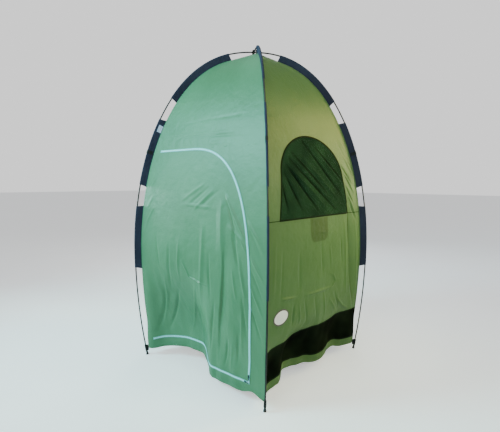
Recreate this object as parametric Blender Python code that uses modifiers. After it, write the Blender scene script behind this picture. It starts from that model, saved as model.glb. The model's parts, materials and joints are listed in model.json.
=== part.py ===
"""Toilet tent: two crossed pole arches, four cloth walls, a zipped door, a mesh window and a vent.

The tent stands on z = 0 with its centre on the Z axis. The door wall faces -Y and the window wall
faces +X. Lengths are in metres. A wall is worked out flat first: "along" runs across it, "z" is the
height, and on_wall() puts that place on the bent cloth.
"""

import math

import bmesh
import bpy
import numpy as np
from mathutils import Matrix, Vector

# Pole arches
ARCH_HEIGHT = 1.95  # centreline of the lower pole where the two cross
WIDEST_HEIGHT = 0.684  # height at which the arches are widest
WIDEST_HALF = 0.7617  # from the tent's centre to a pole, at that height
FOOT_HALF = 0.6952  # from the tent's centre to a pole's foot
CROWN_EXPONENT = 2.309  # 2 gives an elliptic crown, more gives fuller shoulders
POLE_DIAMETER = 0.0085
POLE_BORE = 0.0046
SECTIONS = 7  # pieces that one pole comes apart into
STEPS = 8  # straight stretches that stand for one bent section
CROSSING_HALF = 0.125  # how far from the crossing the upper pole starts to rise over the lower
FERRULE_LENGTH = 0.060
FERRULE_WALL = 0.0008
SHOCK_CORD_DIAMETER = 0.0030

# Pole feet and corner straps
TIP_LENGTH = 0.050
TIP_WALL = 0.0018
TIP_FOOT_RADIUS = 0.0085
TIP_FOOT_HEIGHT = 0.0105
TIP_TUBE_START = 0.0063  # the tube starts this high, inside the foot
STRAP_START = 0.028  # along the pole, from its foot
STRAP_LENGTH = 0.036

# Cloth
CLOTH = 0.0015  # thickness that stands for the thin cloth
SEAM = 0.0006  # half of the gap left at every seam
CORNER_GAP = 0.0012  # from a wall's side edge to the tent's corner line
SLEEVE_WIDTH = 0.038  # from a pole to the tent's corner line
HEM_INSET = 0.017  # the same at the hem, where the cloth is pulled to the foot
HEM_INSET_TOP = 0.25  # height above which the full sleeve width holds
HEM_HEIGHT = 0.045
TOP_HOLE_HALF = 0.030  # the walls stop this far from the centre, under the crown patch
STITCH_GAP = 0.0004  # between sewn pieces that lie against each other
ROW_GAP = 0.005  # least height of a row of the cloth's mesh

# Sleeves, as heights of their ends from the top down, and what is sewn on them
SLEEVES = {"upper": (1.652, 1.933), "middle": (1.112, 1.528), "lower": (0.579, 0.982)}
SLEEVE_CLOTH = 0.0012
SLEEVE_EASE = 0.0004  # between a ferrule and the sleeve over it
FIN_HALF = 0.0007  # half the thickness of the sewn flap
NECK = 1.25  # where the flap leaves the round part, in radii from the pole
FIN_GAP = 0.00035  # from the flap's end to the corner line
BAND_HEIGHTS = {"left": 1.322, "right": 1.330, "front": 1.342, "rear": 1.330}
BAND_LENGTH = 0.022
BAND_SHORT = 0.006  # the band stops this far from the corner line
LABEL_HEIGHT = 1.473
LABEL_SIZE = (0.026, 0.045)
LABEL_THICKNESS = 0.0006

# Door, in the door wall's own along and z
DOOR_HINGE = -0.380
DOOR_TOP = 1.320
DOOR_BOTTOM = 0.112
DOOR_SIDE = 0.4055  # widest place of the zip
DOOR_SIDE_HEIGHT = 0.515  # height of that place, where the round corner starts
DOOR_CROWN = -0.095  # where the straight top edge ends
DOOR_CROWN_EXPONENT = 2.56
DOOR_TOE = 0.385  # where the side zip meets the bottom zip
TAPE_WIDTH = 0.006
TAPE_THICKNESS = 0.0010
TAPE_GAP = 0.0006  # from the cloth to the tape
TAPE_END = 0.002  # from the hinge line to the tape's ends
DOOR_COLUMNS = 9
SIDE_COLUMNS = 2
DOOR_SWING = 150  # degrees

# Window, vent and hem skirt, in the window wall's own along and z
WINDOW_CENTRE = -0.030
WINDOW_SILL = 0.945
WINDOW_SILL_HALF = 0.366
WINDOW_SPRING = 1.170  # height where the round top starts
WINDOW_SPRING_HALF = 0.325
WINDOW_TOP = 1.392
WINDOW_SHOULDER = 0.012  # rise of the wall's corners beside the round top's last row
MESH_SHOULDER = 0.008  # the same for the mesh
WINDOW_HEAD = 0.030  # from the window to the first row over it
WINDOW_COLUMNS = 10
VENT_TOP = 0.292
VENT_BOTTOM = 0.096
POCKET = (-0.114, 0.074, 0.804, 0.935)  # from, to, bottom and top
POCKET_ROUND = 0.045
BADGE_CENTRE = (-0.385, 0.455)
BADGE_HALF = (0.064, 0.041)
PATCH_THICKNESS = 0.0009
PATCH_GAP = 0.0008  # from the cloth to the pocket and to the badge
PLAIN_COLUMNS = 10
POCKET_COLUMNS = 4

# Folds that the slack cloth hangs in: place along, depth inwards, width before and after it
DOOR_FOLDS = [(-0.380, 0.050, 0.106, 0.300), (-0.100, 0.117, 0.386, 0.230)]
WINDOW_FOLDS = [(-0.428, 0.053, 0.120, 0.180), (-0.203, 0.092, 0.175, 0.400), (0.265, 0.053, 0.250, 0.195)]
BACK_FOLDS = [(-0.220, 0.055, 0.200, 0.220), (0.240, 0.040, 0.180, 0.200)]
LEFT_FOLDS = [(-0.150, 0.045, 0.250, 0.180), (0.260, 0.050, 0.170, 0.190)]
FOLD_LIFT = 0.35  # a hem rises by this share of how far it is drawn in
FOLD_FULL = 0.125  # a fold has its whole depth up to this height
FOLD_FADE = 8  # a higher power keeps a fold's depth nearer to a wall's side edges
DOOR_FOLD_TOP = 0.700
WINDOW_FOLD_TOP = 0.415
SCALLOP = (0.405, 0.022, 0.080)  # place, rise and half width of the door hem's arch at the front corner

# Crown patch and tie
PATCH_RADIUS = 0.055
TIE_WIDTH = 0.014
TIE_THICKNESS = 0.0015

# Zip sliders and pullers
SLIDER_SIZE = (0.0085, 0.0140, 0.0030)  # across the zip, along it, thick
SLIDER_GAP = 0.0009
SIDE_SLIDER_RISE = 0.036  # above the bottom zip
BOTTOM_SLIDER_BACK = 0.021  # from the side zip
SIDE_SLIDER_TRAVEL = 0.300
BOTTOM_SLIDER_TRAVEL = 0.220
BRIDGE_SIZE = (0.0014, 0.0090, 0.0034)  # the arch on a slider that holds its puller
BRIDGE_HOLE = (0.0060, 0.0022)  # long, high
PULLER_SIZE = (0.0052, 0.0240, 0.0010)
PULLER_BAR = 0.0010  # end bar of the puller, which turns under the bridge
PULLER_EYE = (0.0024, 0.0070)  # wide, long
PULLER_EASE = 0.0004  # between the puller and the slider's front
SUNK = 0.0004  # how far a joined-on piece reaches into its body

COLLECTION = "toilet_tent"
LEGS = {"left": (-1, -1), "right": (1, 1), "front": (1, -1), "rear": (-1, 1)}
COLOURS = {
    "door_cloth": ((0.17, 0.41, 0.26), 0.62, 0.0),
    "wall_cloth": ((0.21, 0.33, 0.08), 0.62, 0.0),
    "sleeve_cloth": ((0.03, 0.06, 0.12), 0.6, 0.0),
    "mesh_cloth": ((0.012, 0.02, 0.012), 0.8, 0.0),
    "webbing": ((0.012, 0.012, 0.014), 0.7, 0.0),
    "fibreglass": ((0.03, 0.03, 0.035), 0.4, 0.0),
    "zip_tape": ((0.42, 0.66, 0.68), 0.6, 0.0),
    "zip_metal": ((0.25, 0.25, 0.27), 0.4, 0.8),
    "label": ((0.72, 0.8, 0.85), 0.6, 0.0),
    "badge": ((0.78, 0.76, 0.8), 0.5, 0.0),
    "tip_plastic": ((0.015, 0.015, 0.017), 0.5, 0.0),
}


# The arch's curve, as corner points of the straight stretches that stand for the bent pole
def half_arch():
    """Distance from the centre and height of many points from foot to crown."""
    drawn_in = WIDEST_HALF - FOOT_HALF
    radius = (WIDEST_HEIGHT**2 + drawn_in**2) / (2 * drawn_in)
    z = np.linspace(0, WIDEST_HEIGHT, 200)
    low = WIDEST_HALF - (radius - np.sqrt(radius**2 - (z - WIDEST_HEIGHT) ** 2))
    turn = np.linspace(0, math.pi / 2, 600)[1:]
    high = WIDEST_HALF * np.maximum(np.cos(turn), 0) ** (2 / CROWN_EXPONENT)
    rise = WIDEST_HEIGHT + (ARCH_HEIGHT - WIDEST_HEIGHT) * np.sin(turn)
    return np.concatenate([low, high]), np.concatenate([z, rise])


def crossing_rise(from_centre):
    """How far the upper pole is lifted to pass over the lower one."""
    t = np.clip(np.abs(from_centre) / CROSSING_HALF, 0, 1)
    return (POLE_DIAMETER + STITCH_GAP) * np.cos(t * math.pi / 2) ** 2


class Pole:
    """One bent pole in its own plane, measured along from one foot to the other."""

    def __init__(self, over):
        out, up = half_arch()
        out = np.concatenate([out, -out[-2::-1]])
        up = np.concatenate([up, up[-2::-1]])
        arc = np.concatenate([[0], np.cumsum(np.hypot(np.diff(out), np.diff(up)))])
        even = np.linspace(0, arc[-1], SECTIONS * STEPS + 1)
        self.out = np.interp(even, arc, out)
        self.up = np.interp(even, arc, up)
        if over:
            self.up = self.up + crossing_rise(self.out)
        steps = np.hypot(np.diff(self.out), np.diff(self.up))
        self.knots = np.concatenate([[0], np.cumsum(steps)])
        self.length = float(self.knots[-1])
        self.joints = self.knots[::STEPS]

    def place(self, run):
        """Point, and unit direction of the pole there, both in its plane."""
        i = min(int(np.searchsorted(self.knots, run, side="right")) - 1, len(self.knots) - 2)
        point = np.array([np.interp(run, self.knots, self.out), np.interp(run, self.knots, self.up)])
        ahead = self.stretch(i)
        if abs(run - self.knots[i]) < 1e-9 and i > 0:
            ahead = ahead + self.stretch(i - 1)
        return point, ahead / np.linalg.norm(ahead)

    def stretch(self, i):
        """Unit direction of one straight stretch."""
        step = np.array([self.out[i + 1] - self.out[i], self.up[i + 1] - self.up[i]])
        return step / np.linalg.norm(step)

    def runs(self, start, end):
        """Where the pole bends between two places along it, with the two places."""
        inside = [k for k in self.knots if start + 1e-4 < k < end - 1e-4]
        return [start, *inside, end]

    def run_at(self, height):
        """Place along the pole at a height, on its first leg."""
        half = len(self.knots) // 2
        return float(np.interp(height, self.up[: half + 1], self.knots[: half + 1]))


LOWER_POLE = Pole(over=False)
UPPER_POLE = Pole(over=True)


def corner_inset(z):
    """Distance from the pole to the tent's corner line: less near the hem."""
    t = min(max((z - HEM_HEIGHT) / (HEM_INSET_TOP - HEM_HEIGHT), 0), 1)
    return HEM_INSET + (SLEEVE_WIDTH - HEM_INSET) * t * t * (3 - 2 * t)


def corner_line():
    """Half width and height of the walls at each bend of the pole, from the foot up."""
    half, height = [], []
    for run in LOWER_POLE.knots[: len(LOWER_POLE.knots) // 2 + 1]:
        point, ahead = LOWER_POLE.place(run)
        outwards = np.array([ahead[1], -ahead[0]])
        corner = point - corner_inset(point[1]) * outwards
        half.append(corner[0] / math.sqrt(2))
        height.append(corner[1])
    return np.array(half), np.array(height)


CORNER_HALF, CORNER_HEIGHT = corner_line()


def wall_half(z):
    """Half the width of a wall at a height, which is also its distance from the centre."""
    return float(np.interp(z, CORNER_HEIGHT, CORNER_HALF))


def height_for_half(half):
    """Height at which the walls have narrowed to a half width, above the widest place."""
    top = int(np.argmax(CORNER_HALF))
    return float(np.interp(-half, -CORNER_HALF[top:], CORNER_HEIGHT[top:]))


def fold_share(z, top):
    """Share of a fold's depth that is left at a height."""
    t = min(max((z - FOLD_FULL) / (top - FOLD_FULL), 0), 1)
    return 1 - t * t * (3 - 2 * t)


def fold_depth(folds, along, z, top):
    """How far the slack cloth is drawn in at a place."""
    depth = 0.0
    for place, deep, before, after in folds:
        away = (along - place) / (after if along > place else before)
        if abs(away) < 1:
            depth += deep * math.cos(away * math.pi / 2) ** 2
    return depth * fold_share(z, top)


WALLS = {
    "door": (0, DOOR_FOLDS, DOOR_FOLD_TOP),
    "window": (1, WINDOW_FOLDS, WINDOW_FOLD_TOP),
    "back": (2, BACK_FOLDS, DOOR_FOLD_TOP),
    "left": (3, LEFT_FOLDS, DOOR_FOLD_TOP),
}


def on_wall(wall, along, z, out=0.0):
    """The point of a wall's cloth, or that far out from it."""
    quarter, folds, top = WALLS[wall]
    edge = wall_half(z)
    nearness = 1 - min(abs(along) / edge, 1) ** FOLD_FADE
    depth = fold_depth(folds, along, z, top) * nearness
    flat = Vector((along, -(edge - depth + out), z + FOLD_LIFT * depth))
    return Matrix.Rotation(quarter * math.pi / 2, 3, "Z") @ flat


# Making objects
def clear_scene():
    for old in list(bpy.data.objects):
        bpy.data.objects.remove(old)
    for name in (COLLECTION, "cutters"):
        group = bpy.data.collections.new(name)
        bpy.context.scene.collection.children.link(group)


def material(name):
    if name in bpy.data.materials:
        return bpy.data.materials[name]
    colour, roughness, metallic = COLOURS[name]
    made = bpy.data.materials.new(name)
    made.use_nodes = True
    shader = made.node_tree.nodes["Principled BSDF"]
    shader.inputs["Base Color"].default_value = (*colour, 1)
    shader.inputs["Roughness"].default_value = roughness
    shader.inputs["Metallic"].default_value = metallic
    made.diffuse_color = (*colour, 1)
    return made


def finish_mesh(bm, name, finish, group=COLLECTION):
    """Turns a bmesh into an object with its material."""
    mesh = bpy.data.meshes.new(name)
    bm.to_mesh(mesh)
    bm.free()
    made = bpy.data.objects.new(name, mesh)
    mesh.materials.append(material(finish))
    bpy.data.collections[group].objects.link(made)
    return made


def sheet(name, columns, rows, place, finish, keep=lambda column, row: True, thickness=CLOTH):
    """Cloth from a grid whose points place(column, row) puts in space."""
    bm = bmesh.new()
    bmesh.ops.create_grid(bm, x_segments=columns, y_segments=rows, size=0.5)
    dropped = []
    for face in bm.faces:
        middle = face.calc_center_median()
        column = int((middle.x + 0.5) * columns)
        row = int((middle.y + 0.5) * rows)
        if not keep(column, row):
            dropped.append(face)
    spots = {v: (round((v.co.x + 0.5) * columns), round((v.co.y + 0.5) * rows)) for v in bm.verts}
    for v, (column, row) in spots.items():
        v.co = place(column, row)
    if dropped:
        bmesh.ops.delete(bm, geom=dropped, context="FACES")
    made = finish_mesh(bm, name, finish)
    solid = made.modifiers.new("thickness", "SOLIDIFY")
    solid.thickness = thickness
    solid.offset = 0
    solid.use_even_offset = True
    made.data.shade_smooth()
    return made


def sweep(name, stations, outer, inner, finish, whole=True):
    """A hollow profile carried through stations. With whole False it is open on its last side."""
    bm = bmesh.new()
    rings = []
    for station in stations:
        rings.append([[bm.verts.new(station @ Vector((*p, 0))) for p in loop] for loop in (outer, inner)])
    count = len(rings[0][0])
    last = count if whole else count - 1
    for a, b in zip(rings, rings[1:]):
        for i in range(last):
            j = (i + 1) % count
            bm.faces.new((a[0][i], a[0][j], b[0][j], b[0][i]))
            bm.faces.new((a[1][j], a[1][i], b[1][i], b[1][j]))
        if not whole:
            bm.faces.new((a[1][0], a[0][0], b[0][0], b[1][0]))
            bm.faces.new((a[0][-1], a[1][-1], b[1][-1], b[0][-1]))
    for i in range(last):
        j = (i + 1) % count
        first, final = rings[0], rings[-1]
        bm.faces.new((first[0][j], first[0][i], first[1][i], first[1][j]))
        bm.faces.new((final[0][i], final[0][j], final[1][j], final[1][i]))
    bmesh.ops.recalc_face_normals(bm, faces=bm.faces)
    made = finish_mesh(bm, name, finish)
    made.data.shade_smooth()
    made.data.set_sharp_from_angle(angle=math.radians(35))
    return made


def rod(name, stations, radius, sides, finish, group=COLLECTION):
    """A solid round bar through stations."""
    bm = bmesh.new()
    rings = []
    for station in stations:
        turn = [2 * math.pi * i / sides for i in range(sides)]
        rings.append([bm.verts.new(station @ Vector((radius * math.cos(t), radius * math.sin(t), 0)))
                      for t in turn])
    for a, b in zip(rings, rings[1:]):
        for i in range(sides):
            j = (i + 1) % sides
            bm.faces.new((a[i], a[j], b[j], b[i]))
    bm.faces.new(rings[0][::-1])
    bm.faces.new(rings[-1])
    bmesh.ops.recalc_face_normals(bm, faces=bm.faces)
    made = finish_mesh(bm, name, finish, group)
    made.data.shade_smooth()
    made.data.set_sharp_from_angle(angle=math.radians(50))
    return made


def box(size, centre, name="box", finish="zip_metal", group="cutters", turned=None):
    """A box by its full size, centred at a point, turned about it."""
    bm = bmesh.new()
    bmesh.ops.create_cube(bm, size=1)
    turned = turned or Matrix.Identity(3)
    bmesh.ops.transform(bm, verts=bm.verts, matrix=Matrix.Diagonal((*size, 1)))
    bmesh.ops.transform(bm, verts=bm.verts, matrix=Matrix.Translation(centre) @ turned.to_4x4())
    return finish_mesh(bm, name, finish, group)


def combine(target, tools, operation):
    """Joins tools to the target or cuts them out of it."""
    for tool in tools:
        tool.hide_render = True
        tool.display_type = "WIRE"
        step = target.modifiers.new(tool.name, "BOOLEAN")
        step.operation = operation
        step.object = tool
        step.solver = "EXACT"


# Poles
def station(leg, pole, run):
    """Frame of a pole's cross-section: x points out of the arch, y sideways, z along the pole."""
    point, ahead = pole.place(run)
    way = Vector((*LEGS[leg], 0)).normalized()
    up = Vector((0, 0, 1))
    along = way * ahead[0] + up * ahead[1]
    outwards = way * ahead[1] - up * ahead[0]
    sideways = along.cross(outwards)
    frame = Matrix((outwards, sideways, along)).transposed().to_4x4()
    frame.translation = way * point[0] + up * point[1]
    return frame


# Every round profile on a pole has the same six corners, so that nested ones keep an even gap
CORNERS = [math.radians(t) for t in (-150, -90, -30, 30, 90, 150)]


def ring_points(radius):
    return [(radius * math.cos(t), radius * math.sin(t)) for t in CORNERS]


POLES = {"lower": (LOWER_POLE, "left"), "upper": (UPPER_POLE, "front")}


def with_bends(pole, profile):
    """A turned profile's points along a pole, with the pole's bends added between them."""
    full = [profile[0]]
    for (start, r0), (end, r1) in zip(profile, profile[1:]):
        if end - start > 1e-6:
            for run in pole.runs(start, end)[1:-1]:
                full.append((run, r0 + (r1 - r0) * (run - start) / (end - start)))
        full.append((end, r1))
    return full


def make_section(name, pole, leg, start, end, ferrule):
    """A hollow pole section. With a ferrule, its far end carries the socket for the next one."""
    rod_radius, bore = POLE_DIAMETER / 2, POLE_BORE / 2
    outer = [(start, rod_radius), (end, rod_radius)]
    inner = [(start, bore), (end, bore)]
    if ferrule:
        socket = rod_radius + STITCH_GAP
        half = FERRULE_LENGTH / 2
        outer[1:] = [(end - half, rod_radius), (end - half, socket + FERRULE_WALL),
                     (end + half, socket + FERRULE_WALL)]
        inner[1:] = [(end, bore), (end, socket), (end + half, socket)]
    bm = bmesh.new()
    rings = []
    for run, radius in [*with_bends(pole, outer), *reversed(with_bends(pole, inner))]:
        frame = station(leg, pole, run)
        rings.append([bm.verts.new(frame @ Vector((*p, 0))) for p in ring_points(radius)])
    for a, b in zip(rings, [*rings[1:], rings[0]]):
        for i in range(6):
            j = (i + 1) % 6
            bm.faces.new((a[i], a[j], b[j], b[i]))
    bmesh.ops.recalc_face_normals(bm, faces=bm.faces)
    made = finish_mesh(bm, name, "fibreglass")
    made.data.shade_smooth()
    made.data.set_sharp_from_angle(angle=math.radians(65))


def make_poles():
    for pole_name, (pole, leg) in POLES.items():
        seat = TIP_FOOT_HEIGHT + SEAM * 2
        for i in range(SECTIONS):
            last = i == SECTIONS - 1
            start = pole.joints[i] + SEAM / 2 if i else seat
            end = pole.length - seat if last else pole.joints[i + 1] - SEAM / 2
            make_section(f"{pole_name}_pole_section_{i + 1}", pole, leg, start, end, not last)
        cord_start = seat + SEAM
        runs = pole.runs(cord_start, pole.length - cord_start)
        rod(f"{pole_name}_pole_shock_cord", [station(leg, pole, r) for r in runs],
            SHOCK_CORD_DIAMETER / 2, 4, "webbing")


def leg_frames(leg, start, end):
    """Stations on one leg between two places measured from its foot."""
    pole = LOWER_POLE if leg in ("left", "right") else UPPER_POLE
    return [station(leg, pole, r) for r in pole.runs(start, end)]


def leg_run(leg, height):
    pole = LOWER_POLE if leg in ("left", "right") else UPPER_POLE
    return pole.run_at(height)


def keyhole(ring, fin_end):
    """Profile of a sleeve: round over the pole, with a flat flap in towards the tent's corner."""
    neck = ring * NECK
    return [*ring_points(ring), (-neck, FIN_HALF), (-fin_end, FIN_HALF), (-fin_end, -FIN_HALF),
            (-neck, -FIN_HALF)]


def round_hole(radius):
    """Hole of a keyhole profile, with as many points as it."""
    behind = [math.radians(t) for t in (165, 175, -175, -165)]
    reach = radius * math.cos(math.radians(30))
    flat = [(-reach, reach * math.tan(math.pi - abs(t)) * math.copysign(1, t)) for t in behind]
    return [*ring_points(radius), *flat]


def sleeve_rings():
    inner = POLE_DIAMETER / 2 + STITCH_GAP + FERRULE_WALL + SLEEVE_EASE
    return inner, inner + SLEEVE_CLOTH


def make_sleeves():
    inner, outer = sleeve_rings()
    for leg in LEGS:
        for name, (low, high) in SLEEVES.items():
            frames = leg_frames(leg, leg_run(leg, low), leg_run(leg, high))
            sweep(f"{name}_sleeve_{leg}", frames, keyhole(outer, SLEEVE_WIDTH - FIN_GAP),
                  round_hole(inner), "sleeve_cloth")


def make_bands():
    """Dark bands round the middle sleeves."""
    outer = sleeve_rings()[1] + STITCH_GAP
    end = SLEEVE_WIDTH - BAND_SHORT

    def wrap(radius, half):
        neck = radius * NECK
        return [(-end, -half), (-neck, -half), *ring_points(radius), (-neck, half), (-end, half)]

    inside = FIN_HALF + STITCH_GAP
    for leg in LEGS:
        middle = leg_run(leg, BAND_HEIGHTS[leg])
        frames = leg_frames(leg, middle - BAND_LENGTH / 2, middle + BAND_LENGTH / 2)
        sweep(f"sleeve_band_{leg}", frames, wrap(outer + SLEEVE_CLOTH, inside + SLEEVE_CLOTH),
              wrap(outer, inside), "webbing", whole=False)


def make_label():
    """Bare label on the flap of the left leg's middle sleeve."""
    pole_run = leg_run("left", LABEL_HEIGHT)
    frame = station("left", LOWER_POLE, pole_run)
    ring = sleeve_rings()[1]
    across = (ring * NECK + SLEEVE_WIDTH) / 2
    side = FIN_HALF + STITCH_GAP + LABEL_THICKNESS / 2
    sideways = frame.to_3x3() @ Vector((0, 1, 0))
    if sideways.dot(Vector((0, -1, 0))) < 0:
        side = -side
    centre = frame @ Vector((-across, side, 0))
    size = (LABEL_SIZE[0], LABEL_THICKNESS, LABEL_SIZE[1])
    box(size, centre, "blank_label", "label", COLLECTION, frame.to_3x3())


def make_tips_and_straps():
    ring = POLE_DIAMETER / 2 + STITCH_GAP
    for leg in LEGS:
        tube = sweep(f"pole_tip_{leg}", leg_frames(leg, TIP_TUBE_START, TIP_LENGTH),
                     ring_points(ring + TIP_WALL), ring_points(ring), "tip_plastic")
        way = Vector((*LEGS[leg], 0)).normalized()
        bm = bmesh.new()
        bmesh.ops.create_cone(bm, cap_ends=True, segments=12, radius1=TIP_FOOT_RADIUS,
                              radius2=TIP_FOOT_RADIUS, depth=TIP_FOOT_HEIGHT)
        middle = LOWER_POLE.place(TIP_FOOT_HEIGHT / 2)[0]
        bmesh.ops.translate(bm, verts=bm.verts, vec=way * middle[0] + Vector((0, 0, TIP_FOOT_HEIGHT / 2)))
        foot = finish_mesh(bm, f"tip_foot_{leg}", "tip_plastic", "cutters")
        combine(tube, [foot], "UNION")
        strap_ring = ring + TIP_WALL + STITCH_GAP
        frames = leg_frames(leg, STRAP_START, STRAP_START + STRAP_LENGTH)
        sweep(f"corner_strap_{leg}", frames,
              keyhole(strap_ring + SLEEVE_CLOTH, HEM_INSET - FIN_GAP),
              round_hole(strap_ring), "webbing")


# Walls
def cloth_rows(low, high):
    """Heights of a wall's rows: the two ends, with the pole's bends between them."""
    return [low, *[float(z) for z in CORNER_HEIGHT if low + ROW_GAP < z < high - ROW_GAP], high]


def wall_edge(z):
    return wall_half(z) - CORNER_GAP


def top_row():
    return height_for_half(TOP_HOLE_HALF)


def door_edge(z):
    """Where the zip is at a height, with the outward direction of the door's outline there."""
    if z <= DOOR_SIDE_HEIGHT:
        slope = (DOOR_SIDE - DOOR_TOE) / (DOOR_SIDE_HEIGHT - DOOR_BOTTOM)
        along = DOOR_TOE + (z - DOOR_BOTTOM) * slope
        outwards = np.array([1, -slope])
        return along, outwards / np.linalg.norm(outwards)
    wide = DOOR_SIDE - DOOR_CROWN
    tall = DOOR_TOP - DOOR_SIDE_HEIGHT
    v = min((z - DOOR_SIDE_HEIGHT) / tall, 1)
    u = (1 - v**DOOR_CROWN_EXPONENT) ** (1 / DOOR_CROWN_EXPONENT)
    power = DOOR_CROWN_EXPONENT - 1
    outwards = np.array([u**power / wide, v**power / tall])
    return DOOR_CROWN + wide * u, outwards / np.linalg.norm(outwards)


def door_rows():
    """Heights at which the door's side is worked out, closer together round the top corner."""
    tall = DOOR_TOP - DOOR_SIDE_HEIGHT
    turns = [math.radians(t) for t in (38, 48, 57, 65, 72, 79, 85)]
    curve = [DOOR_SIDE_HEIGHT + tall * math.sin(t) ** (2 / DOOR_CROWN_EXPONENT) for t in turns]
    straight = [DOOR_BOTTOM + SEAM + TAPE_WIDTH, DOOR_SIDE_HEIGHT]
    rows = [DOOR_BOTTOM]
    for z in sorted([*CORNER_HEIGHT, *curve, *straight]):
        if z - rows[-1] > ROW_GAP and z < DOOR_TOP - SEAM:
            rows.append(float(z))
    return [*rows, DOOR_TOP]


def door_lines(left, right, inner_tape):
    """Places along a row inside the door: even ones, then the zip tape's and the zip."""
    even = [left + (inner_tape - left) * i / DOOR_COLUMNS for i in range(DOOR_COLUMNS + 1)]
    return [*even, right]


def door_wall_line(row, below, above):
    """Places along one row of the door wall, with its height."""
    hem, opening, crown = below, door_rows(), above
    if row < len(hem):
        z = hem[row]
        along, outwards, gap = DOOR_TOE, np.array([1.0, 0.0]), SEAM
    elif row < len(hem) + len(opening) - 2:
        z = opening[row - len(hem) + 1]
        along, outwards = door_edge(z)
        gap = SEAM
        z = z + gap * outwards[1]
    else:
        z = crown[row - len(hem) - len(opening) + 2]
        along, outwards, gap = DOOR_CROWN, np.array([0.0, 1.0]), SEAM
    zip_out = along + gap * outwards[0]
    tape_out = zip_out + TAPE_WIDTH
    scale = 1.0
    base = z
    if z > DOOR_TOP:
        base = DOOR_TOP + SEAM
        scale = wall_edge(z) / wall_edge(base)
    edge = wall_edge(base)
    lines = [-edge + (edge + DOOR_HINGE - SEAM) * i / SIDE_COLUMNS for i in range(SIDE_COLUMNS)]
    lines += door_lines(DOOR_HINGE - SEAM, zip_out, along - SEAM - TAPE_WIDTH)
    lines += [tape_out + (edge - tape_out) * i / SIDE_COLUMNS for i in range(SIDE_COLUMNS + 1)]
    return [a * scale for a in lines], z


def hem_rise(along):
    """How far the door wall's hem arches up beside the front corner."""
    place, rise, half = SCALLOP
    away = (along - place) / half
    return rise * math.cos(away * math.pi / 2) ** 2 if abs(away) < 1 else 0.0


def make_door_wall():
    """The fixed cloth round the door: one sheet with the door's opening left out."""
    hem = [HEM_HEIGHT, DOOR_BOTTOM - SEAM - TAPE_WIDTH, DOOR_BOTTOM - SEAM]
    crown = cloth_rows(DOOR_TOP + SEAM, top_row())
    opening = len(door_rows()) - 2
    rows = len(hem) + opening + len(crown)
    lines = [door_wall_line(row, hem, crown) for row in range(rows)]
    columns = len(lines[0][0]) - 1
    first, last = SIDE_COLUMNS, SIDE_COLUMNS + DOOR_COLUMNS + 1

    def place(column, row):
        along, z = lines[row][0][column], lines[row][1]
        if row == 0:
            z += hem_rise(along)
        return on_wall("door", along, z)

    def keep(column, row):
        in_door = first <= column < last
        return not (in_door and len(hem) - 1 <= row < len(hem) + opening)

    sheet("door_wall", columns, rows - 1, place, "door_cloth", keep)


def make_door_flap():
    """The door itself, just inside the zip's line all round."""
    rows = door_rows()
    lines = []
    for i, z in enumerate(rows):
        along, outwards = door_edge(z)
        if i == 0:
            z, along = z + SEAM, DOOR_TOE - SEAM
        elif i == len(rows) - 1:
            z, along = z - SEAM, DOOR_CROWN
        else:
            z, along = z - SEAM * outwards[1], along - SEAM * outwards[0]
        lines.append((door_lines(DOOR_HINGE + SEAM, along, along - TAPE_WIDTH), z))
    sheet("door_flap", DOOR_COLUMNS + 1, len(rows) - 1,
          lambda column, row: on_wall("door", lines[row][0][column], lines[row][1]), "door_cloth")


def zip_path():
    """The door's outline as points and outward directions: along the top, down the side, and back."""
    start = DOOR_HINGE + TAPE_END
    path = []
    for i in range(4):
        path.append((start + (DOOR_CROWN - start) * i / 4, DOOR_TOP, 0.0, 1.0))
    for z in reversed(door_rows()[1:]):
        along, outwards = door_edge(z)
        path.append((along, z, *outwards))
    path.append((DOOR_TOE, DOOR_BOTTOM, 1.0, -1.0))
    lines = door_lines(DOOR_HINGE + SEAM, DOOR_TOE - SEAM, DOOR_TOE - SEAM - TAPE_WIDTH)
    for along in lines[-2:0:-1]:
        path.append((along, DOOR_BOTTOM, 0.0, -1.0))
    path.append((start, DOOR_BOTTOM, 0.0, -1.0))
    return path


def make_zip_tapes():
    path = zip_path()
    out = CLOTH / 2 + TAPE_GAP + TAPE_THICKNESS / 2
    for name, side in (("zip_tape_flap", -1), ("zip_tape_wall", 1)):

        def place(column, row, side=side):
            along, z, across, up = path[row]
            away = side * (SEAM if column == 0 else SEAM + TAPE_WIDTH)
            return on_wall("door", along + away * across, z + away * up, out)

        sheet(name, 1, len(path) - 1, place, "zip_tape", thickness=TAPE_THICKNESS)


def window_half(z):
    """Half the window's width at a height."""
    if z <= WINDOW_SPRING:
        t = (z - WINDOW_SILL) / (WINDOW_SPRING - WINDOW_SILL)
        return WINDOW_SILL_HALF + (WINDOW_SPRING_HALF - WINDOW_SILL_HALF) * t
    t = (z - WINDOW_SPRING) / (WINDOW_TOP - WINDOW_SPRING)
    return WINDOW_SPRING_HALF * math.sqrt(max(1 - t * t, 0))


def window_rows():
    tall = WINDOW_TOP - WINDOW_SPRING
    curve = [WINDOW_SPRING + tall * math.sin(math.radians(t)) for t in (0, 22, 40, 55, 68)]
    rows = [WINDOW_SILL]
    for z in sorted([*CORNER_HEIGHT, *curve]):
        if z - rows[-1] > ROW_GAP and z < WINDOW_TOP - ROW_GAP:
            rows.append(float(z))
    return rows


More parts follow.
